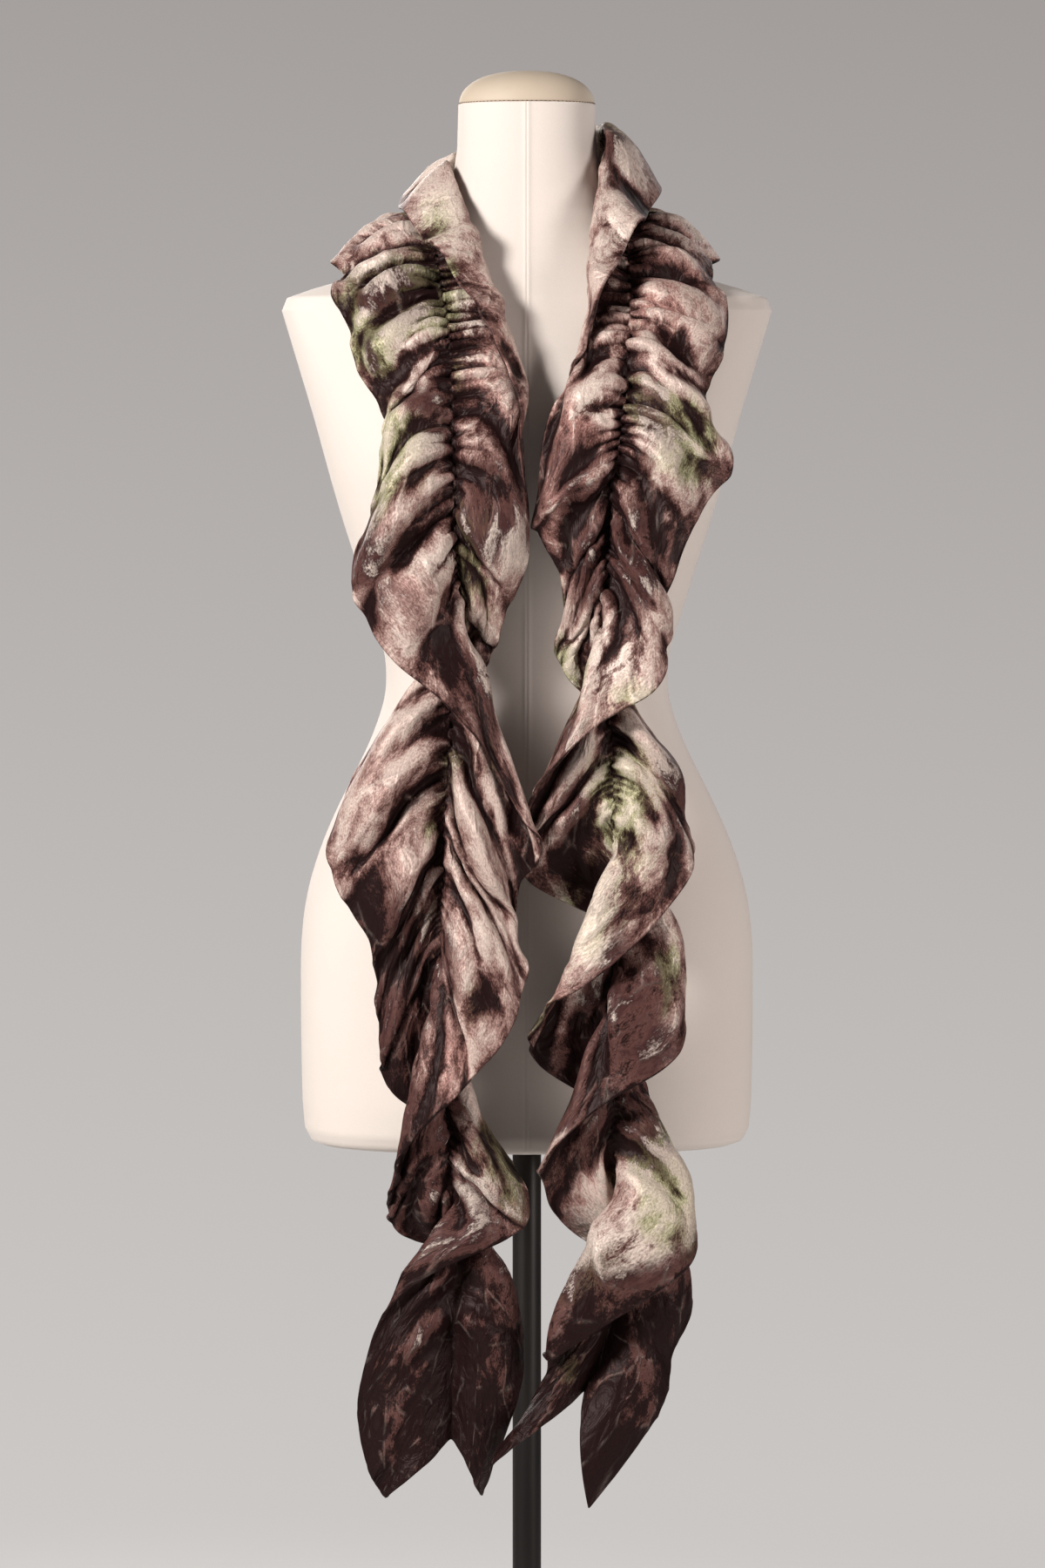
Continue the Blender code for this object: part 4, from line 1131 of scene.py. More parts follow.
def hang(drape, cut, form):
    """Let the cloth fall against the form for a few frames, and return its points."""
    bump = form.modifiers.new("bump", "COLLISION")
    form.collision.thickness_outer = FORM_GAP
    form.collision.cloth_friction = FORM_FRICTION
    cloth = drape.modifiers.new("drape", "CLOTH")
    for key, value in DRAPE_CLOTH.items():
        setattr(cloth.settings, key, value)
    cloth.settings.vertex_group_mass = "hold"
    cloth.settings.rest_shape_key = cut
    cloth.settings.effector_weights.gravity = DRAPE_GRAVITY
    cloth.collision_settings.distance_min = CLOTH_GAP
    cloth.collision_settings.use_self_collision = True
    cloth.collision_settings.self_distance_min = FOLD_GAP
    cloth.point_cache.frame_start = 1
    cloth.point_cache.frame_end = DRAPE_FRAMES
    for frame_number in range(1, DRAPE_FRAMES + 1):
        bpy.context.scene.frame_set(frame_number)
    settled = drape.evaluated_get(bpy.context.evaluated_depsgraph_get()).data
    flat = np.zeros(len(settled.vertices) * 3, np.float32)
    settled.vertices.foreach_get("co", flat)
    form.modifiers.remove(bump)
    return flat.reshape(-1, 3) / MM


def settle(band, form):
    """Drape the cloth in a simulation: its spare length buckles into folds beside the spine."""
    along = np.linspace(0, band.length, DRAPE_ROWS)
    across = wing_places(DRAPE_WING)
    start = band.surface(along[:, None], across[None, :])
    mesh, i, j = grid_mesh("draping", start)
    drape = bpy.data.objects.new("draping", mesh)
    bpy.context.scene.collection.objects.link(drape)
    drape.shape_key_add(name="laid")
    cut = drape.shape_key_add(name="cut")
    flat = cut_cloth(band, along, start)
    cut.data.foreach_set("co", (flat[i, j] * MM).astype(np.float32).ravel())
    hold = drape.vertex_groups.new(name="hold")
    firm = END_HOLD + (DRAPE_HOLD - END_HOLD) * band.looseness(along)
    strength = np.where(j == DRAPE_WING, 1.0, firm[i])
    for k, value in enumerate(strength):
        hold.add([k], float(value), "REPLACE")
    points = start.copy()
    points[i, j] = hang(drape, cut, form)
    bpy.data.objects.remove(drape)
    bpy.data.meshes.remove(mesh)
    bpy.context.scene.frame_set(1)
    return keep_off_form(blurred(points, 1), FOLDED_CLEARANCE)


def facing_of(points, softness):
    """The way a grid's hidden side faces, evened out between neighbours."""
    facing = unit(np.cross(np.gradient(points, axis=0), np.gradient(points, axis=1)))
    for _ in range(softness):
        soft = facing.copy()
        soft[1:-1] += facing[:-2] + facing[2:]
        soft[:, 1:-1] += facing[:, :-2] + facing[:, 2:]
        facing = unit(soft)
    return facing


def blurred(points, times):
    """Even out a grid of points with their neighbours."""
    for _ in range(times):
        for axis in (0, 1):
            soft = (np.roll(points, 1, axis) + 2 * points + np.roll(points, -1, axis)) / 4
            ends = [slice(None), slice(None)]
            for end in (0, -1):
                ends[axis] = end
                soft[tuple(ends)] = points[tuple(ends)]
            points = soft
    return points


def crest_of(points, facing, evening, depth):
    """1 on the crests of the cloth's folds as seen from its shown side, 0 in its troughs."""
    out = ((points - blurred(points, evening)) * -facing).sum(axis=-1)
    return 0.5 + 0.5 * np.tanh(out / depth)


def half_wall(band, along, middle):
    """Half the wall's thickness: more at the turned-out edges, and rounded off at the ends."""
    from_edge = np.linalg.norm(middle - middle[:, :1], axis=-1)
    from_edge = np.minimum(from_edge, np.linalg.norm(middle - middle[:, -1:], axis=-1))
    swell = np.clip(1 - from_edge / EDGE_BAND, 0, 1) ** 2
    half = (WALL + (EDGE_WALL - WALL) * swell) / 2
    end = np.minimum(along, band.length - along)[:, None] / (EDGE_WALL / 2)
    half = half * np.sqrt(np.clip(1 - (1 - np.clip(end, 0, 1)) ** 2, 0, 1))
    return half[..., None]


def ring_of(band, along, drape):
    """The closed section of the wall at each place along the spine, and where each point is."""
    across = wing_places(WING_STEPS, WING_BEND)

    def finer(values):
        """Read the draped grid's values at every rib and at every place across it."""
        values = resampled(values, along / band.length * (DRAPE_ROWS - 1))
        return resampled(values.swapaxes(0, 1), (across + 1) * DRAPE_WING).swapaxes(0, 1)

    middle = finer(drape)
    wide_crest = finer(crest_of(drape, facing_of(drape, DRAPE_EVENING), *WIDE_CREST))
    facing = facing_of(middle, RELIEF_EVENING)
    raised = band.relief(*np.broadcast_arrays(along[:, None], across[None, :]))
    middle = middle - facing * raised[..., None]
    facing = facing_of(middle, WALL_EVENING)
    fine_crest = crest_of(middle, facing, *FINE_CREST)
    # The crest value paints the velvet lighter on crests and darker in troughs: painted highlight
    # and painted shade.
    crest = FINE_SHARE * fine_crest + (1 - FINE_SHARE) * wide_crest
    half = half_wall(band, along, middle)
    front, back = middle - facing * half, middle + facing * half

    def rim(edge, inside, turns):
        """Points round a free edge, each turned so far out of the wall's own plane."""
        away = unit(middle[:, edge] - middle[:, inside])
        return [
            middle[:, edge] + half[:, edge] * (away * math.cos(t) - facing[:, edge] * math.sin(t))
            for t in turns
        ]

    outer_in = rim(0, 2, (0, math.pi / 4))
    inner = rim(-1, -3, (math.pi / 4, 0, -math.pi / 4))
    outer_out = rim(0, 2, (-math.pi / 4, 0))
    parts = [np.stack(outer_in, 1), front, np.stack(inner, 1), back[:, ::-1], np.stack(outer_out, 1)]
    shares = np.concatenate([[-1, -1], across, [1, 1, 1], across[::-1], [-1, -1]])
    edge = np.full((len(along), 2), EDGE_CREST)
    fold_highlight_and_shade = [edge, crest, edge[:, :1], edge, 1 - crest[:, ::-1], edge]
    return np.concatenate(parts, axis=1), shares, np.concatenate(fold_highlight_and_shade, axis=1)


def bays(u, v, seed):
    """How far the outline of a patch of dye strays at each place on the cloth."""
    return sum(deep * hills(u, v, size, seed + k) for k, (deep, size) in enumerate(DYE_BAYS))


def dye_of(points, along, shares):
    """How much of each bath colour the cloth has taken at each point."""
    u = np.broadcast_to((along * CUT_FULLNESS)[:, None], points.shape[:2])
    v = np.broadcast_to((shares * CUT_WIDTH / 2)[None, :], points.shape[:2])
    x = points[..., 0] + bays(u, v, DYE_SEED)
    y = points[..., 1]
    z = points[..., 2] + bays(u, v, DYE_SEED + len(DYE_BAYS))
    front, back = DYE_HIDDEN
    baths = np.zeros(points.shape[:2] + (4,))
    wing = np.broadcast_to(np.sign(shares)[None, :], points.shape[:2])
    for row in DYES:
        patch = dict(zip(DYE_COLUMNS, row))
        far = ((x - patch["x"]) / patch["wide"]) ** 2 + ((z - patch["z"]) / patch["tall"]) ** 2
        amount = patch["strength"] * np.exp(-far) * (y < back)
        if patch["wing"]:
            amount = amount * np.where(wing == patch["wing"], 1, DYE_RUNS_ON)
        baths = baths + amount[..., None] * np.array(BATHS[patch["dye"]])
    hidden = np.clip((y - front) / (back - front), 0, 1)
    for k, size in enumerate(BACK_PATCHES):
        baths[..., k] += hidden * np.clip(1.4 * hills(u, v, size, BACK_SEED + k), 0, BACK_STRENGTH)
    return np.clip(baths, 0, DYE_LIMIT)


def grid_mesh(name, points):
    """A mesh of a grid of points, made from Blender's grid."""
    rows, columns = points.shape[:2]
    shape = bmesh.new()
    bmesh.ops.create_grid(shape, x_segments=columns - 1, y_segments=rows - 1, size=1)
    mesh = bpy.data.meshes.new(name)
    shape.to_mesh(mesh)
    shape.free()
    flat = np.zeros(len(mesh.vertices) * 3, np.float32)
    mesh.vertices.foreach_get("co", flat)
    flat = flat.reshape(-1, 3)
    i = np.rint((flat[:, 1] + 1) / 2 * (rows - 1)).astype(int)
    j = np.rint((flat[:, 0] + 1) / 2 * (columns - 1)).astype(int)
    mesh.vertices.foreach_set("co", (points[i, j] * MM).astype(np.float32).ravel())
    return mesh, i, j


def give(mesh, name, kind, values):
    """Give a mesh's vertices a named value each."""
    layer = mesh.attributes.new(name, kind, "POINT")
    field = {"FLOAT_COLOR": "color", "FLOAT_VECTOR": "vector", "FLOAT": "value"}[kind]
    layer.data.foreach_set(field, np.ascontiguousarray(values, dtype=np.float32).ravel())


def piece_from(name, mesh, look):
    """Make a mesh an object of the model, riding on its one body."""
    mesh.materials.clear()
    mesh.materials.append(look)
    piece = bpy.data.objects.new(name, mesh)
    bpy.context.scene.collection.objects.link(piece)
    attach(piece, "root")
    return piece


def close_mesh(mesh):
    """Merge a mesh's doubles and turn its faces outwards."""
    shape = bmesh.new()
    shape.from_mesh(mesh)
    bmesh.ops.remove_doubles(shape, verts=shape.verts[:], dist=DOUBLES)
    bmesh.ops.recalc_face_normals(shape, faces=shape.faces[:])
    if shape.calc_volume(signed=True) < 0:
        bmesh.ops.reverse_faces(shape, faces=shape.faces[:])
    for face in shape.faces:
        face.smooth = True
    shape.to_mesh(mesh)
    shape.free()


def cap_rows(mesh, i, j, rows, columns):
    """Close the two ends of a wrapped grid, from its front to its back."""
    index = np.zeros((rows, columns), int)
    index[i, j] = np.arange(len(i))
    shape = bmesh.new()
    shape.from_mesh(mesh)
    shape.verts.ensure_lookup_table()
    for row in (0, rows - 1):
        ring = [shape.verts[k] for k in index[row]]
        last = columns - 1
        for a in range(last // 2 - 1):
            shape.faces.new((ring[a], ring[a + 1], ring[last - a - 1], ring[last - a]))
        a = last // 2 - 1
        shape.faces.new((ring[a], ring[a + 1], ring[a + 2]))
    shape.to_mesh(mesh)
    shape.free()


def stretch_ends(band):
    """How far along the spine each stretch ends."""
    return {
        "left_end": band.place(LEFT_CUTS["end"], left=True),
        "left_lower": band.place(LEFT_CUTS["lower"], left=True),
        "left_upper": band.place(LEFT_CUTS["upper"], left=True),
        "neck_wrap": band.place(RIGHT_CUTS["upper"], left=False),
        "right_upper": band.place(RIGHT_CUTS["lower"], left=False),
        "right_lower": band.place(RIGHT_CUTS["end"], left=False),
        "right_end": band.length,
    }


def cloth_places(along, shares):
    """Where each point of the rings lies on the flat cloth, in metres."""
    size = (len(along), len(shares))
    shown = len(shares) // 2
    layer = np.concatenate([np.zeros(shown), np.ones(len(shares) - shown)])
    flat_u = np.broadcast_to(along[:, None] * DYE_FULLNESS, size)
    flat_v = np.broadcast_to(shares[None, :] * CUT_WIDTH / 2, size)
    layers = np.broadcast_to(layer[None, :] * LAYER_GAP, size)
    return np.stack([flat_u, flat_v, layers], axis=-1) * MM


def wall_facing(points):
    """The way the wall faces at each point of its rings."""
    rise = np.gradient(points, axis=0)
    round_ring = np.concatenate([points[:, -2:-1], points, points[:, 1:2]], axis=1)
    turn = (round_ring[:, 2:] - round_ring[:, :-2]) / 2
    facing = unit(np.cross(turn, rise))
    facing[0], facing[-1] = facing[1], facing[-2]
    return facing


def shade_as_one(mesh):
    """Shade a stretch by the way the whole scarf faces, so that the joins don't show."""
    facing = np.zeros(len(mesh.vertices) * 3, np.float32)
    mesh.attributes["shade"].data.foreach_get("vector", facing)
    facing = facing.reshape(-1, 3)
    own = np.array([v.normal for v in mesh.vertices])
    if (own * facing).sum() < 0:
        facing = -facing
    mesh.attributes.remove(mesh.attributes["shade"])
    mesh.normals_split_custom_set_from_vertices(facing.tolist())


def add_scarf(look, form):
    """The scarf, a closed shell for each stretch."""
    band = Band()
    drape = settle(band, form)
    count = int(band.length / ROW_STEP)
    along = np.linspace(0, band.length, count + 1)
    ends = EDGE_WALL / 2 * np.array(END_ROWS)
    along = np.sort(np.concatenate([along, ends, band.length - ends]))
    points, shares, fold_highlight_and_shade = ring_of(band, along, drape)
    dyes = dye_of(points, along, shares)
    cloth = cloth_places(along, shares)
    shade = wall_facing(points)
    first = 0
    for name, stop in stretch_ends(band).items():
        last = len(along) - 1 if name == "right_end" else int(np.searchsorted(along, stop))
        part = slice(first, last + 1)
        mesh, i, j = grid_mesh("velvet_" + name, points[part])
        give(mesh, "cloth", "FLOAT_VECTOR", cloth[part][i, j])
        give(mesh, "dye", "FLOAT_COLOR", dyes[part][i, j])
        # Painted highlight and painted shade: how far each point lies on a crest or in a trough.
        give(mesh, "crest", "FLOAT", fold_highlight_and_shade[part][i, j])
        give(mesh, "shade", "FLOAT_VECTOR", shade[part][i, j])
        cap_rows(mesh, i, j, last + 1 - first, len(shares))
        close_mesh(mesh)
        shade_as_one(mesh)
        piece = piece_from("velvet_" + name, mesh, look)
        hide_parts(name)
        first = last


# ---------------------------------------------------------------- materials


class Nodes:
    """A node tree and short ways to add to it."""

    def __init__(self, tree):
        self.tree = tree

    def add(self, kind, inputs=(), **settings):
        """Add a node, set it up, and link or fill its inputs."""
        node = self.tree.nodes.new(kind)
        for key, value in settings.items():
            setattr(node, key, value)
        for key, value in dict(inputs).items():
            self.feed(node.inputs[key], value)
        return node

    def feed(self, socket, value):
        """Link a node's output to a socket, or give it a plain value."""
        if hasattr(value, "links"):
            self.tree.links.new(value, socket)
        else:
            socket.default_value = value

    def place(self):
        """Places on the object itself, in metres."""
        return self.add("ShaderNodeTexCoord").outputs["Object"]

    def noise(self, vector, scale, detail=3.0, rough=0.55, distortion=0.0):
        """A noise from about 0.2 to 0.8, with so many waves a metre."""
        values = dict(Vector=vector, Scale=scale, Detail=detail, Roughness=rough)
        values["Distortion"] = distortion
        return self.add("ShaderNodeTexNoise", values).outputs["Fac"]

    def crumple(self, vector, scale):
        """Cells like those of crumpled cloth: how far off the nearest crease is, and which cell."""
        stray = self.add("ShaderNodeTexNoise", dict(Vector=vector, Scale=scale * 0.9, Detail=2.0))
        stray = self.add(
            "ShaderNodeVectorMath",
            {0: stray.outputs["Color"], 1: (0.55 / scale,) * 3, 2: vector},
            operation="MULTIPLY_ADD",
        ).outputs[0]
        values = dict(Vector=stray, Scale=scale)
        edge = self.add("ShaderNodeTexVoronoi", values, feature="DISTANCE_TO_EDGE")
        cell = self.add("ShaderNodeTexVoronoi", values, feature="F1")
        shade = self.add("ShaderNodeSeparateColor", {"Color": cell.outputs["Color"]})
        return edge.outputs["Distance"], shade.outputs["Red"]

    def math(self, operation, a, b=0.0, c=0.0):
        """Work out a value. Where it says MULTIPLY_ADD, that is a * b + c."""
        return self.add("ShaderNodeMath", {0: a, 1: b, 2: c}, operation=operation).outputs[0]

    def total(self, start, parts):
        """Add values to a start, each times its own weight."""
        for value, weight in parts:
            start = self.math("MULTIPLY_ADD", value, weight, start)
        return start

    def either_way(self, value):
        """A noise less a half, so that it adds as much as it takes away."""
        return self.math("ADD", value, -0.5)

    def remap(self, value, low, high, to_low=0.0, to_high=1.0, smooth=True):
        """Turn the span from low to high into the one from to_low to to_high."""
        values = {"Value": value, "From Min": low, "From Max": high}
        values.update({"To Min": to_low, "To Max": to_high})
        kind = "SMOOTHSTEP" if smooth else "LINEAR"
        return self.add("ShaderNodeMapRange", values, interpolation_type=kind).outputs["Result"]

    def mix(self, amount, first, second, blend="MIX"):
        """The first colour at 0 and the second at 1."""
        node = self.add("ShaderNodeMix", data_type="RGBA", blend_type=blend)
        colours = [v if hasattr(v, "links") else (*v, 1.0) for v in (first, second)]
        self.feed(node.inputs[0], amount)
        self.feed(node.inputs[6], colours[0])
        self.feed(node.inputs[7], colours[1])
        return node.outputs[2]


class Look(Nodes):
    """A material and its surface."""

    def __init__(self, name):
        self.made = bpy.data.materials.new(name)
        self.made.use_nodes = True
        super().__init__(self.made.node_tree)
        self.shader = self.tree.nodes["Principled BSDF"]

    def bump(self, height, strength, distance):
        """Let the light see a fine relief, so many metres high."""
        values = dict(Height=height, Strength=strength, Distance=distance)
        normal = self.add("ShaderNodeBump", values).outputs["Normal"]
        self.tree.links.new(normal, self.shader.inputs["Normal"])

    def set(self, **values):
        """Set the surface's own values, whose names have spaces for underscores."""
        for key, value in values.items():
            self.feed(self.shader.inputs[key.replace("_", " ")], value)


# The velvet's noises: waves a metre, detail, roughness and distortion.
PATCHES = (18, 4, 0.55, 0.7)
FLECKS = (115, 4, 0.6, 0.8)
CRUSH = (52, 3, 0.5, 1.0)
NAP = (700, 2, 0.7)
CRUMPLE = 30  # crumpled cells a metre
LAY_SCALE = (1.0, 0.9, 1)  # the larger ones lie askew on the cloth
LAY_TURN = (0, 0, 0.4)
BATH_EDGE = (0.20, 0.74)  # how much dye it takes for a bath's colour to begin, and to be full
PILE_TONE = 0.40  # the pile's tone where no noise makes it lighter or darker
PALE_TONES = (0.66, 1.0)  # from its own colour to the palest one
DEEP_TONES = (0.36, 0.74)  # from its deep colour to its own
DARK_TONES = (0.10, 0.46)  # from almost black to its deep colour


def velvet_look():
    """Crushed velvet: mottled dye, nap that lies every way, and painted highlight on the folds'
    crests with painted shade in their troughs.
    """
    look = Look("crushed_velvet")
    place = look.add("ShaderNodeAttribute", attribute_name="cloth").outputs["Vector"]
    dye = look.add("ShaderNodeAttribute", attribute_name="dye").outputs
    baths = look.add("ShaderNodeSeparateColor", {"Color": dye["Color"]}).outputs
    olive, plum, pale, rose = baths["Red"], baths["Green"], baths["Blue"], dye["Alpha"]
    # Painted highlight on the folds' crests and painted shade in their troughs.
    crest = look.add("ShaderNodeAttribute", attribute_name="crest").outputs["Fac"]
    askew = look.add("ShaderNodeMapping", dict(Vector=place, Scale=LAY_SCALE, Rotation=LAY_TURN))
    lay = askew.outputs["Vector"]
    patches = look.noise(lay, *PATCHES)
    flecks = look.noise(place, *FLECKS)
    crush = look.noise(lay, *CRUSH)
    nap = look.noise(place, *NAP)
    creases, cells = look.crumple(place, CRUMPLE)
    ridge = look.math("MULTIPLY", look.remap(creases, 0.06, 0.0), look.remap(crush, 0.47, 0.62))
    breakup = look.math("MULTIPLY_ADD", patches, 1.1, -0.55)
    breakup = look.math("MULTIPLY_ADD", flecks, 0.9, look.math("ADD", breakup, -0.45))

    def amount(bath):
        """How much of a bath's colour shows, with its outline broken up by the noises."""
        return look.remap(look.math("ADD", bath, breakup), *BATH_EDGE)

    # How the pile lies: 0 dark, seen into it, and 1 light, along it. The crest adds painted
    # highlight on the folds' crests and painted shade in their troughs.
    noises = [(patches, 1.45), (crush, 1.0), (flecks, 1.0), (crest, 1.0), (nap, 0.6), (cells, 0.24)]
    tone = look.total(PILE_TONE, [(look.either_way(noise), weight) for noise, weight in noises])
    tone = look.total(tone, [(ridge, 0.16), (pale, 0.20), (olive, 0.10), (plum, -0.40)])
    green = amount(olive)
    colour = look.mix(amount(rose), MAUVE, ROSE)
    colour = look.mix(amount(pale), colour, PALE)
    colour = look.mix(green, colour, OLIVE)
    colour = look.mix(amount(plum), colour, PLUM)
    colour = look.mix(look.math("MULTIPLY", look.remap(tone, *PALE_TONES), 0.6), colour, PALE)
    deep = look.mix(look.math("MULTIPLY", green, 0.75), BROWN, MOSS)
    colour = look.mix(look.remap(tone, *DEEP_TONES), deep, colour)
    colour = look.mix(look.remap(tone, *DARK_TONES), DARK, colour)
    colour = look.mix(look.math("MULTIPLY", ridge, 0.07), colour, PALE)
    colour = look.mix(1.0, colour, look.remap(nap, 0.32, 0.68, 0.76, 1.14), blend="MULTIPLY")
    height = look.math("MULTIPLY", flecks, 0.18)
    height = look.total(height, [(ridge, 0.22), (cells, 0.12), (crush, 1.2), (nap, 0.04)])
    look.bump(height, 0.8, 0.0035)
    rough = look.math("MULTIPLY_ADD", flecks, 0.20, 0.38)
    look.set(Base_Color=colour, Roughness=rough, IOR=1.5, Specular_IOR_Level=0.14, Metallic=0.12)
    look.set(Specular_Tint=GLOSS, Sheen_Weight=0.02, Sheen_Roughness=0.35, Sheen_Tint=GLOSS)
    return look.made


def form_look():
    """Ivory cloth drawn tight over the form."""
    look = Look("ivory_cloth")
    place = look.place()
    soft = look.noise(place, 6, 3, 0.5)
    weave = look.noise(place, 900, 2, 0.6)
    colour = look.mix(look.remap(soft, 0.3, 0.7, 0.0, 0.35), FORM_IVORY, FORM_SHADE)
    colour = look.mix(look.remap(weave, 0.35, 0.65, 0.0, 0.12), colour, FORM_WEAVE)
    look.bump(weave, 0.25, 0.0003)
    look.set(Base_Color=colour, Roughness=0.72, Specular_IOR_Level=0.35)
    look.set(Sheen_Weight=0.15, Sheen_Roughness=0.5)
    return look.made


def cap_look():
    """Cream cloth over padding."""
    look = Look("cream_cloth")
    place = look.place()
    soft = look.noise(place, 30, 3, 0.5)
    weave = look.noise(place, 1100, 2, 0.6)
    colour = look.mix(look.remap(soft, 0.3, 0.7, 0.0, 0.5), CAP_CREAM, CAP_SHADE)
    look.bump(weave, 0.2, 0.0003)
    look.set(Base_Color=colour, Roughness=0.62, Specular_IOR_Level=0.4)
    return look.made


def stitch_look():
    """Brown twisted thread."""
    look = Look("brown_thread")
    twist = look.noise(look.place(), 2200, 2, 0.5)
    colour = look.mix(twist, THREAD_DARK, THREAD_LIGHT)
    look.set(Base_Color=colour, Roughness=0.7)
    return look.made


def metal_look(name, stretch):
    """Dark satin paint on metal, with a grain that can be stretched one way."""
    look = Look(name)
    stretched = look.add("ShaderNodeMapping", {"Vector": look.place(), "Scale": stretch})
    grain = look.noise(stretched.outputs[0], 60, 4, 0.6)
    colour = look.mix(look.remap(grain, 0.3, 0.7), POLE_GREY, POLE_WORN)
    rough = look.math("MULTIPLY_ADD", grain, 0.18, 0.30)
    look.bump(grain, 0.08, 0.0004)
    look.set(Base_Color=colour, Roughness=rough, Metallic=0.55)
    return look.made


# ---------------------------------------------------------------- the form and its stand
FORM_COLUMNS_ROUND = 216
FORM_ROW = 3.0
FORM_FOOT = 0.9  # the bottom's inner ring, as a share of the outer one
SEAMS = (0, math.pi / 2, math.pi, 3 * math.pi / 2)  # angles round the form
SEAM_BAND = 0.05  # how far on each side of a seam the columns are close together, in radians
SEAM_STEPS = 13
SEAM_RIDGE = dict(height=0.9, width=2.6, groove=0.7, groove_width=0.8)
SHOULDER_SEAM = dict(top_x=176, top_z=1378, low_x=122, low_z=1290, height=0.8, width=4.0)


def wrapped(rings):
    """Repeat each ring's first point at its end, so that a grid of them closes."""
    return np.concatenate([rings, rings[:, :1]], axis=1)


def seam_angles():
    """Angles round the form, close together at the seams in front, behind and at the sides."""
    angles = list(np.arange(FORM_COLUMNS_ROUND) * 2 * np.pi / FORM_COLUMNS_ROUND)
    for seam in SEAMS:
        angles = [a for a in angles if abs(math.remainder(a - seam, 2 * math.pi)) > SEAM_BAND]
        near = np.linspace(-SEAM_BAND, SEAM_BAND, SEAM_STEPS)
        angles += [(seam + off) % (2 * math.pi) for off in near]
    return np.array(sorted(angles))


def form_relief(points, angle):
    """Raised seams down the form and round its shoulders."""
    relief = np.zeros(points.shape[:2])
    radial = np.hypot(points[..., 0], points[..., 1])
    for seam in SEAMS:
        off = np.abs((angle - seam + np.pi) % (2 * np.pi) - np.pi) * radial
        relief += SEAM_RIDGE["height"] * np.exp(-((off / SEAM_RIDGE["width"]) ** 2))
        relief -= SEAM_RIDGE["groove"] * np.exp(-((off / SEAM_RIDGE["groove_width"]) ** 2))
    s = SHOULDER_SEAM
    run = (s["top_z"] - points[..., 2]) / (s["top_z"] - s["low_z"])
    line = s["top_x"] + (s["low_x"] - s["top_x"]) * run
    off = np.abs(points[..., 0]) - line
    inside = np.clip(1.2 - np.abs(run - 0.5) * 1.6, 0, 1)  # fades at both of its ends
    return relief - s["height"] * inside * np.exp(-((off / s["width"]) ** 2))


def add_form(look):
    """The covered torso, closed below and at the neck."""
    heights = np.arange(FORM["height"][0], NECK_TOP + 0.1, FORM_ROW)
    heights = np.unique(np.concatenate([heights, [row[0] for row in FORM_SECTIONS]]))
    angle = seam_angles()[None, :]
    radius = form_radius(angle, heights[:, None])
    x, y = radius * np.cos(angle), radius * np.sin(angle)
    rings = np.stack([x, y, heights[:, None] + 0 * angle], axis=-1)
    relief = form_relief(rings, angle)
    rings[..., 0] += relief * np.cos(angle)
    rings[..., 1] += relief * np.sin(angle)
    low, high = rings[:1].copy(), rings[-1:].copy()
    low[..., :2] = 0
    high[..., :2] = 0
    inner = rings[:1].copy()
    inner[..., :2] *= FORM_FOOT
    rings = np.concatenate([low, inner, rings, high])
    mesh, _, _ = grid_mesh("form_cover", wrapped(rings))
    close_mesh(mesh)
    piece = piece_from("form_cover", mesh, look)
    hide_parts("form_body")
    return piece


CAP_SIDES = 120
CAP_ROWS = 28
CAP_LIFT = 0.3  # from the neck's top to the cap's underside
CAP_WALL_LIFT = 0.6  # from the neck's top to the foot of the cap's side
CAP_CROWN_DROP = 0.2  # how far its crown stays below its nominal height
CAP_FOOT = 0.97  # the underside's radius, as a share of the cap's
CAP_BULGE = 0.8  # 1 would make the cap half an ellipse; less keeps its side fuller
STITCH_COUNT = 92
STITCH = dict(out=1.004, lift=0.4, radius=0.5, long=2.1, tall=0.9)


def cap_ring(grow, height, sides):
    """A level ring of the cap, as deep in front and behind as the neck below it."""
    turns = np.arange(sides) * 2 * np.pi / sides
    front = form_radius(np.array([-np.pi / 2]), np.array([NECK_TOP]))[0]
    back = form_radius(np.array([np.pi / 2]), np.array([NECK_TOP]))[0]
    deep = np.where(np.sin(turns) < 0, front, back)
    x, y = CAP_RADIUS * grow * np.cos(turns), deep * grow * np.sin(turns)
    return np.stack([x, y, np.full(sides, height)], axis=-1)


def add_cap(look):
    """The padded cap and its turned edge."""
    foot = NECK_TOP + CAP_LIFT
    crown = CAP_HEIGHT - CAP_WALL_LIFT - CAP_CROWN_DROP
    rings = [cap_ring(0, foot, CAP_SIDES), cap_ring(CAP_FOOT, foot, CAP_SIDES)]
    for k in range(CAP_ROWS + 1):
        rise = k / CAP_ROWS * math.pi / 2
        height = NECK_TOP + CAP_WALL_LIFT + crown * math.sin(rise)
        rings.append(cap_ring(max(math.cos(rise), 0) ** CAP_BULGE, height, CAP_SIDES))
    mesh, _, _ = grid_mesh("neck_pad", wrapped(np.array(rings)))
    close_mesh(mesh)
    piece = piece_from("neck_pad", mesh, look)
    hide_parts("neck_cap")


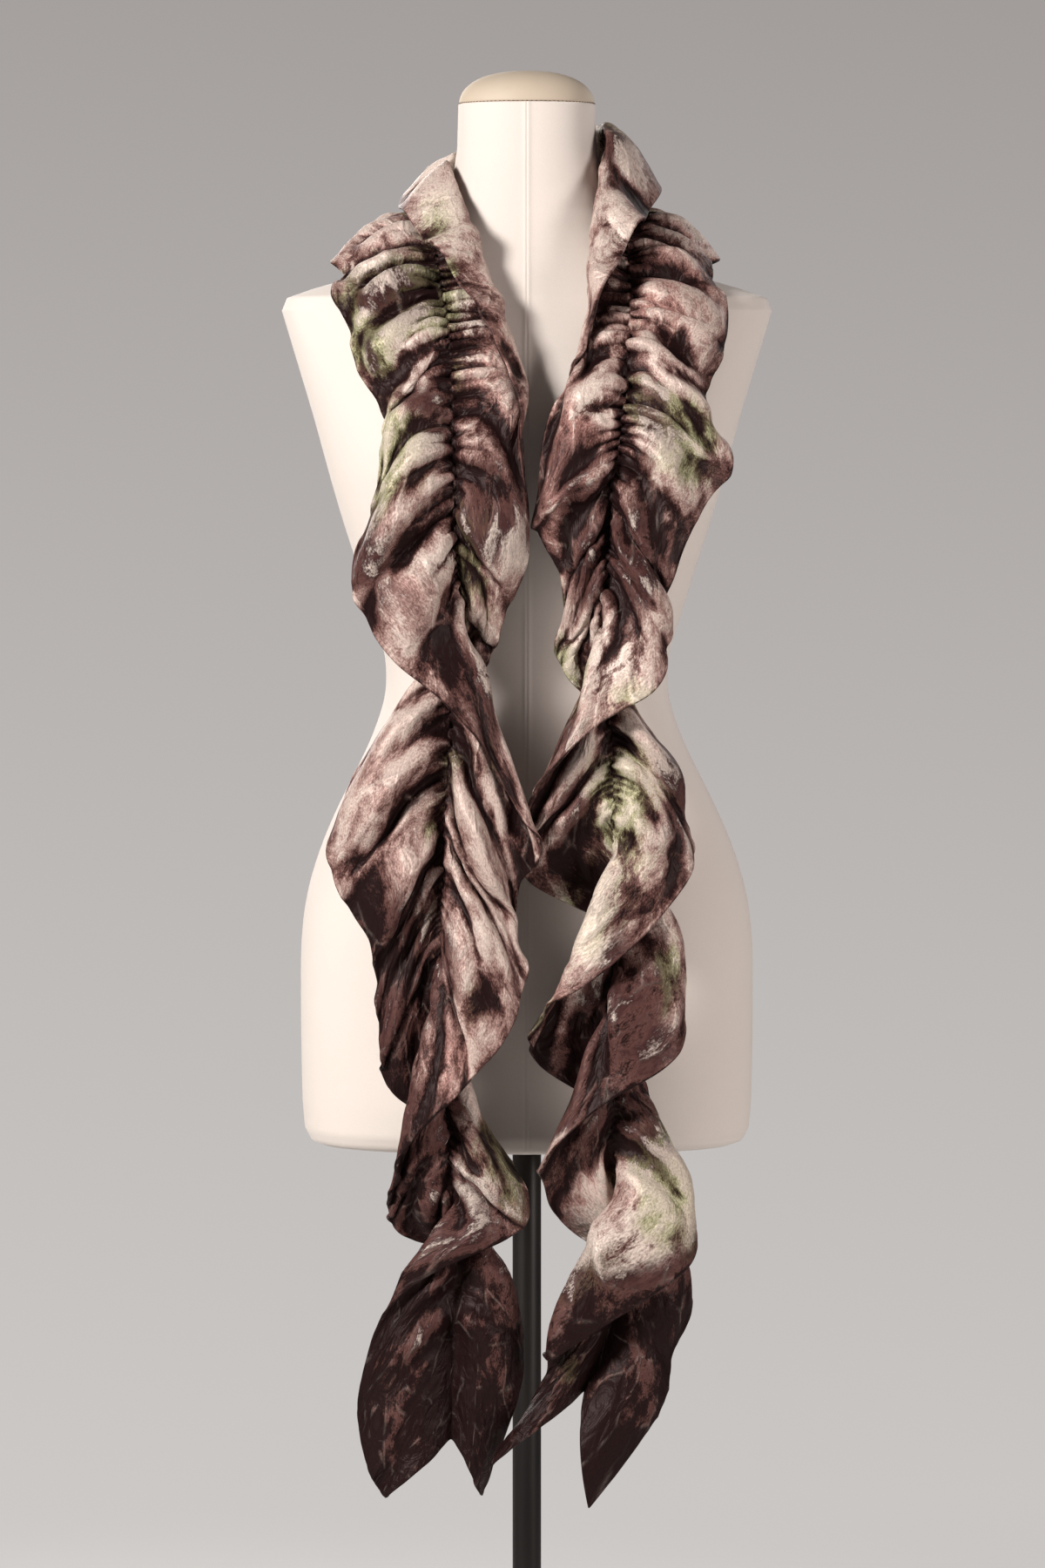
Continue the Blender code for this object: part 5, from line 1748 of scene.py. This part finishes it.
def add_stitches(thread):
    """The row of stitches under the cap's turned edge."""
    stitches = bmesh.new()
    for x, y, z in cap_ring(STITCH["out"], NECK_TOP + STITCH["lift"], STITCH_COUNT):
        turn = math.atan2(y, x) + math.pi / 2
        made = bmesh.ops.create_icosphere(stitches, subdivisions=1, radius=STITCH["radius"])
        for v in made["verts"]:
            long, thick, tall = v.co.x * STITCH["long"], v.co.y, v.co.z * STITCH["tall"]
            px = x + long * math.cos(turn) - thick * math.sin(turn)
            py = y + long * math.sin(turn) + thick * math.cos(turn)
            v.co = Vector((px, py, z + tall)) * MM
    mesh = bpy.data.meshes.new("cap_stitches")
    stitches.to_mesh(mesh)
    stitches.free()
    for face in mesh.polygons:
        face.use_smooth = True
    piece = piece_from("cap_stitches", mesh, thread)


SHARP_ANGLE = math.radians(40)
POLE_SIDES = 72
POLE_EDGE = 0.4  # how far the pole's and the plate's edges are rounded off
POLE_GAP = 0.3  # between the pole and the form's underside
BASE_SIDES = 160
BASE_EDGE = 1.8


def lathe(name, profile, sides, look):
    """A turned piece from its profile of radius and height, from its foot to its top."""
    turns = np.arange(sides) * 2 * np.pi / sides
    rings = [np.stack([r * np.cos(turns), r * np.sin(turns), turns * 0 + z], -1) for r, z in profile]
    mesh, _, _ = grid_mesh(name, wrapped(np.array(rings)))
    close_mesh(mesh)
    mesh.set_sharp_from_angle(angle=SHARP_ANGLE)
    return piece_from(name, mesh, look)


def rounded(radius, low, high, bevel, steps=5):
    """The profile of a disc or rod with rounded edges."""
    turns = [math.pi / 2 * k / steps for k in range(steps + 1)]
    foot = [(radius - bevel + bevel * math.sin(t), low + bevel - bevel * math.cos(t)) for t in turns]
    top = [(radius - bevel + bevel * math.cos(t), high - bevel + bevel * math.sin(t)) for t in turns]
    return [(0, low)] + foot + top + [(0, high)]


def add_stand(pole_paint, plate_paint):
    """The pole and the round plate."""
    pole_top = FORM["height"][0] - POLE_GAP
    tube = rounded(POLE_RADIUS, BASE_THICKNESS, pole_top, POLE_EDGE)
    pole = lathe("pole_tube", tube, POLE_SIDES, pole_paint)
    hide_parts("pole")
    disc = rounded(BASE_RADIUS, 0, BASE_THICKNESS, BASE_EDGE)
    plate = lathe("base_disc", disc, BASE_SIDES, plate_paint)
    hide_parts("base_plate")


# ---------------------------------------------------------------- floor, light and camera
CAMERA_AT = Vector((-0.0034, -5.0, 1.237))
CAMERA_AIM = Vector((-0.0034, 0.0, 1.0056))
VIEW_HEIGHT = 1.224  # metres of the object's plane that the picture shows from top to bottom
SENSOR = 36  # the camera's, in millimetres
LIGHT_AIM = Vector((0, 0, 1.05))
LIGHT_COLUMNS = ("name", "place", "size", "watts", "colour")
LIGHTS = [
    ("key", (-2.2, -2.1, 2.4), 0.8, 160, (1.0, 0.97, 0.94)),
    ("fill", (2.7, -1.9, 1.6), 1.2, 60, (1.0, 0.94, 0.91)),
    ("rim", (1.7, 1.9, 2.3), 1.2, 12, (1.0, 1.0, 1.0)),
    ("back", (-0.9, 2.8, 2.0), 1.6, 48, (1.0, 0.98, 0.96)),
]
AMBIENT = 0.24  # the share of the studio's brightness that lights the object
STUDIO_LOW = (0.62, 0.595, 0.58, 1)
STUDIO_HIGH = (0.345, 0.32, 0.31, 1)
STUDIO_RISE = (-0.18, 0.10)  # how far up the lower and the upper grey are reached
STUDIO_TILT = 0.12  # how much higher that is on the left than on the right
FLOOR_RADIUS = 3.0
FLOOR_FADE = (2.9, 1.4)  # where the floor can't be seen, and where it is whole


def add_floor():
    """A plain pale floor that fades out at its rim."""
    shape = bmesh.new()
    bmesh.ops.create_circle(shape, cap_ends=True, segments=128, radius=FLOOR_RADIUS)
    mesh = bpy.data.meshes.new("floor")
    shape.to_mesh(mesh)
    shape.free()
    look = Look("pale_floor")
    far = look.add("ShaderNodeVectorMath", {0: look.place()}, operation="LENGTH").outputs["Value"]
    look.set(Base_Color=FLOOR_GREY, Roughness=0.8, Alpha=look.remap(far, *FLOOR_FADE))
    mesh.materials.append(look.made)
    floor = bpy.data.objects.new("floor", mesh)
    bpy.context.scene.collection.objects.link(floor)


def add_world():
    """A grey studio, lighter towards the bottom."""
    world = bpy.data.worlds.new("studio")
    bpy.context.scene.world = world
    world.use_nodes = True
    studio = Nodes(world.node_tree)
    where = studio.add("ShaderNodeTexCoord").outputs["Generated"]
    parts = studio.add("ShaderNodeSeparateXYZ", {0: where}).outputs
    height = studio.math("MULTIPLY_ADD", parts["X"], STUDIO_TILT, parts["Z"])
    rise = studio.remap(height, *STUDIO_RISE, smooth=False)
    grey = studio.add("ShaderNodeValToRGB", {"Fac": rise})
    grey.color_ramp.elements[0].color = STUDIO_LOW
    grey.color_ramp.elements[1].color = STUDIO_HIGH
    seen = studio.add("ShaderNodeLightPath").outputs["Is Camera Ray"]
    back = studio.tree.nodes["Background"]
    studio.feed(back.inputs["Color"], grey.outputs["Color"])
    studio.feed(back.inputs["Strength"], studio.remap(seen, 0, 1, AMBIENT, 1.0, smooth=False))


def add_lights():
    """Four soft square lamps round the object."""
    for row in LIGHTS:
        lamp = dict(zip(LIGHT_COLUMNS, row))
        light = bpy.data.lights.new(lamp["name"], "AREA")
        light.energy = lamp["watts"]
        light.size = lamp["size"]
        light.color = lamp["colour"]
        holder = bpy.data.objects.new(lamp["name"], light)
        bpy.context.scene.collection.objects.link(holder)
        holder.location = lamp["place"]
        aim = LIGHT_AIM - holder.location
        holder.rotation_euler = aim.to_track_quat("-Z", "Y").to_euler()


def add_camera():
    """A view from the front and a little above, from the neck's cap to the scarf's lowest tip."""
    lens = bpy.data.cameras.new("camera")
    lens.sensor_width = SENSOR
    lens.lens = SENSOR * (CAMERA_AIM - CAMERA_AT).length / VIEW_HEIGHT
    camera = bpy.data.objects.new("camera", lens)
    bpy.context.scene.collection.objects.link(camera)
    camera.location = CAMERA_AT
    camera.rotation_euler = (CAMERA_AIM - CAMERA_AT).to_track_quat("-Z", "Y").to_euler()
    bpy.context.scene.camera = camera
    bpy.context.scene.view_settings.view_transform = "Standard"


add_camera()
add_scarf(velvet_look(), add_form(form_look()))
add_cap(cap_look())
add_stitches(stitch_look())
add_stand(metal_look("pole_paint", (1, 1, 0.05)), metal_look("plate_paint", (1, 1, 1)))
add_floor()
add_world()
add_lights()
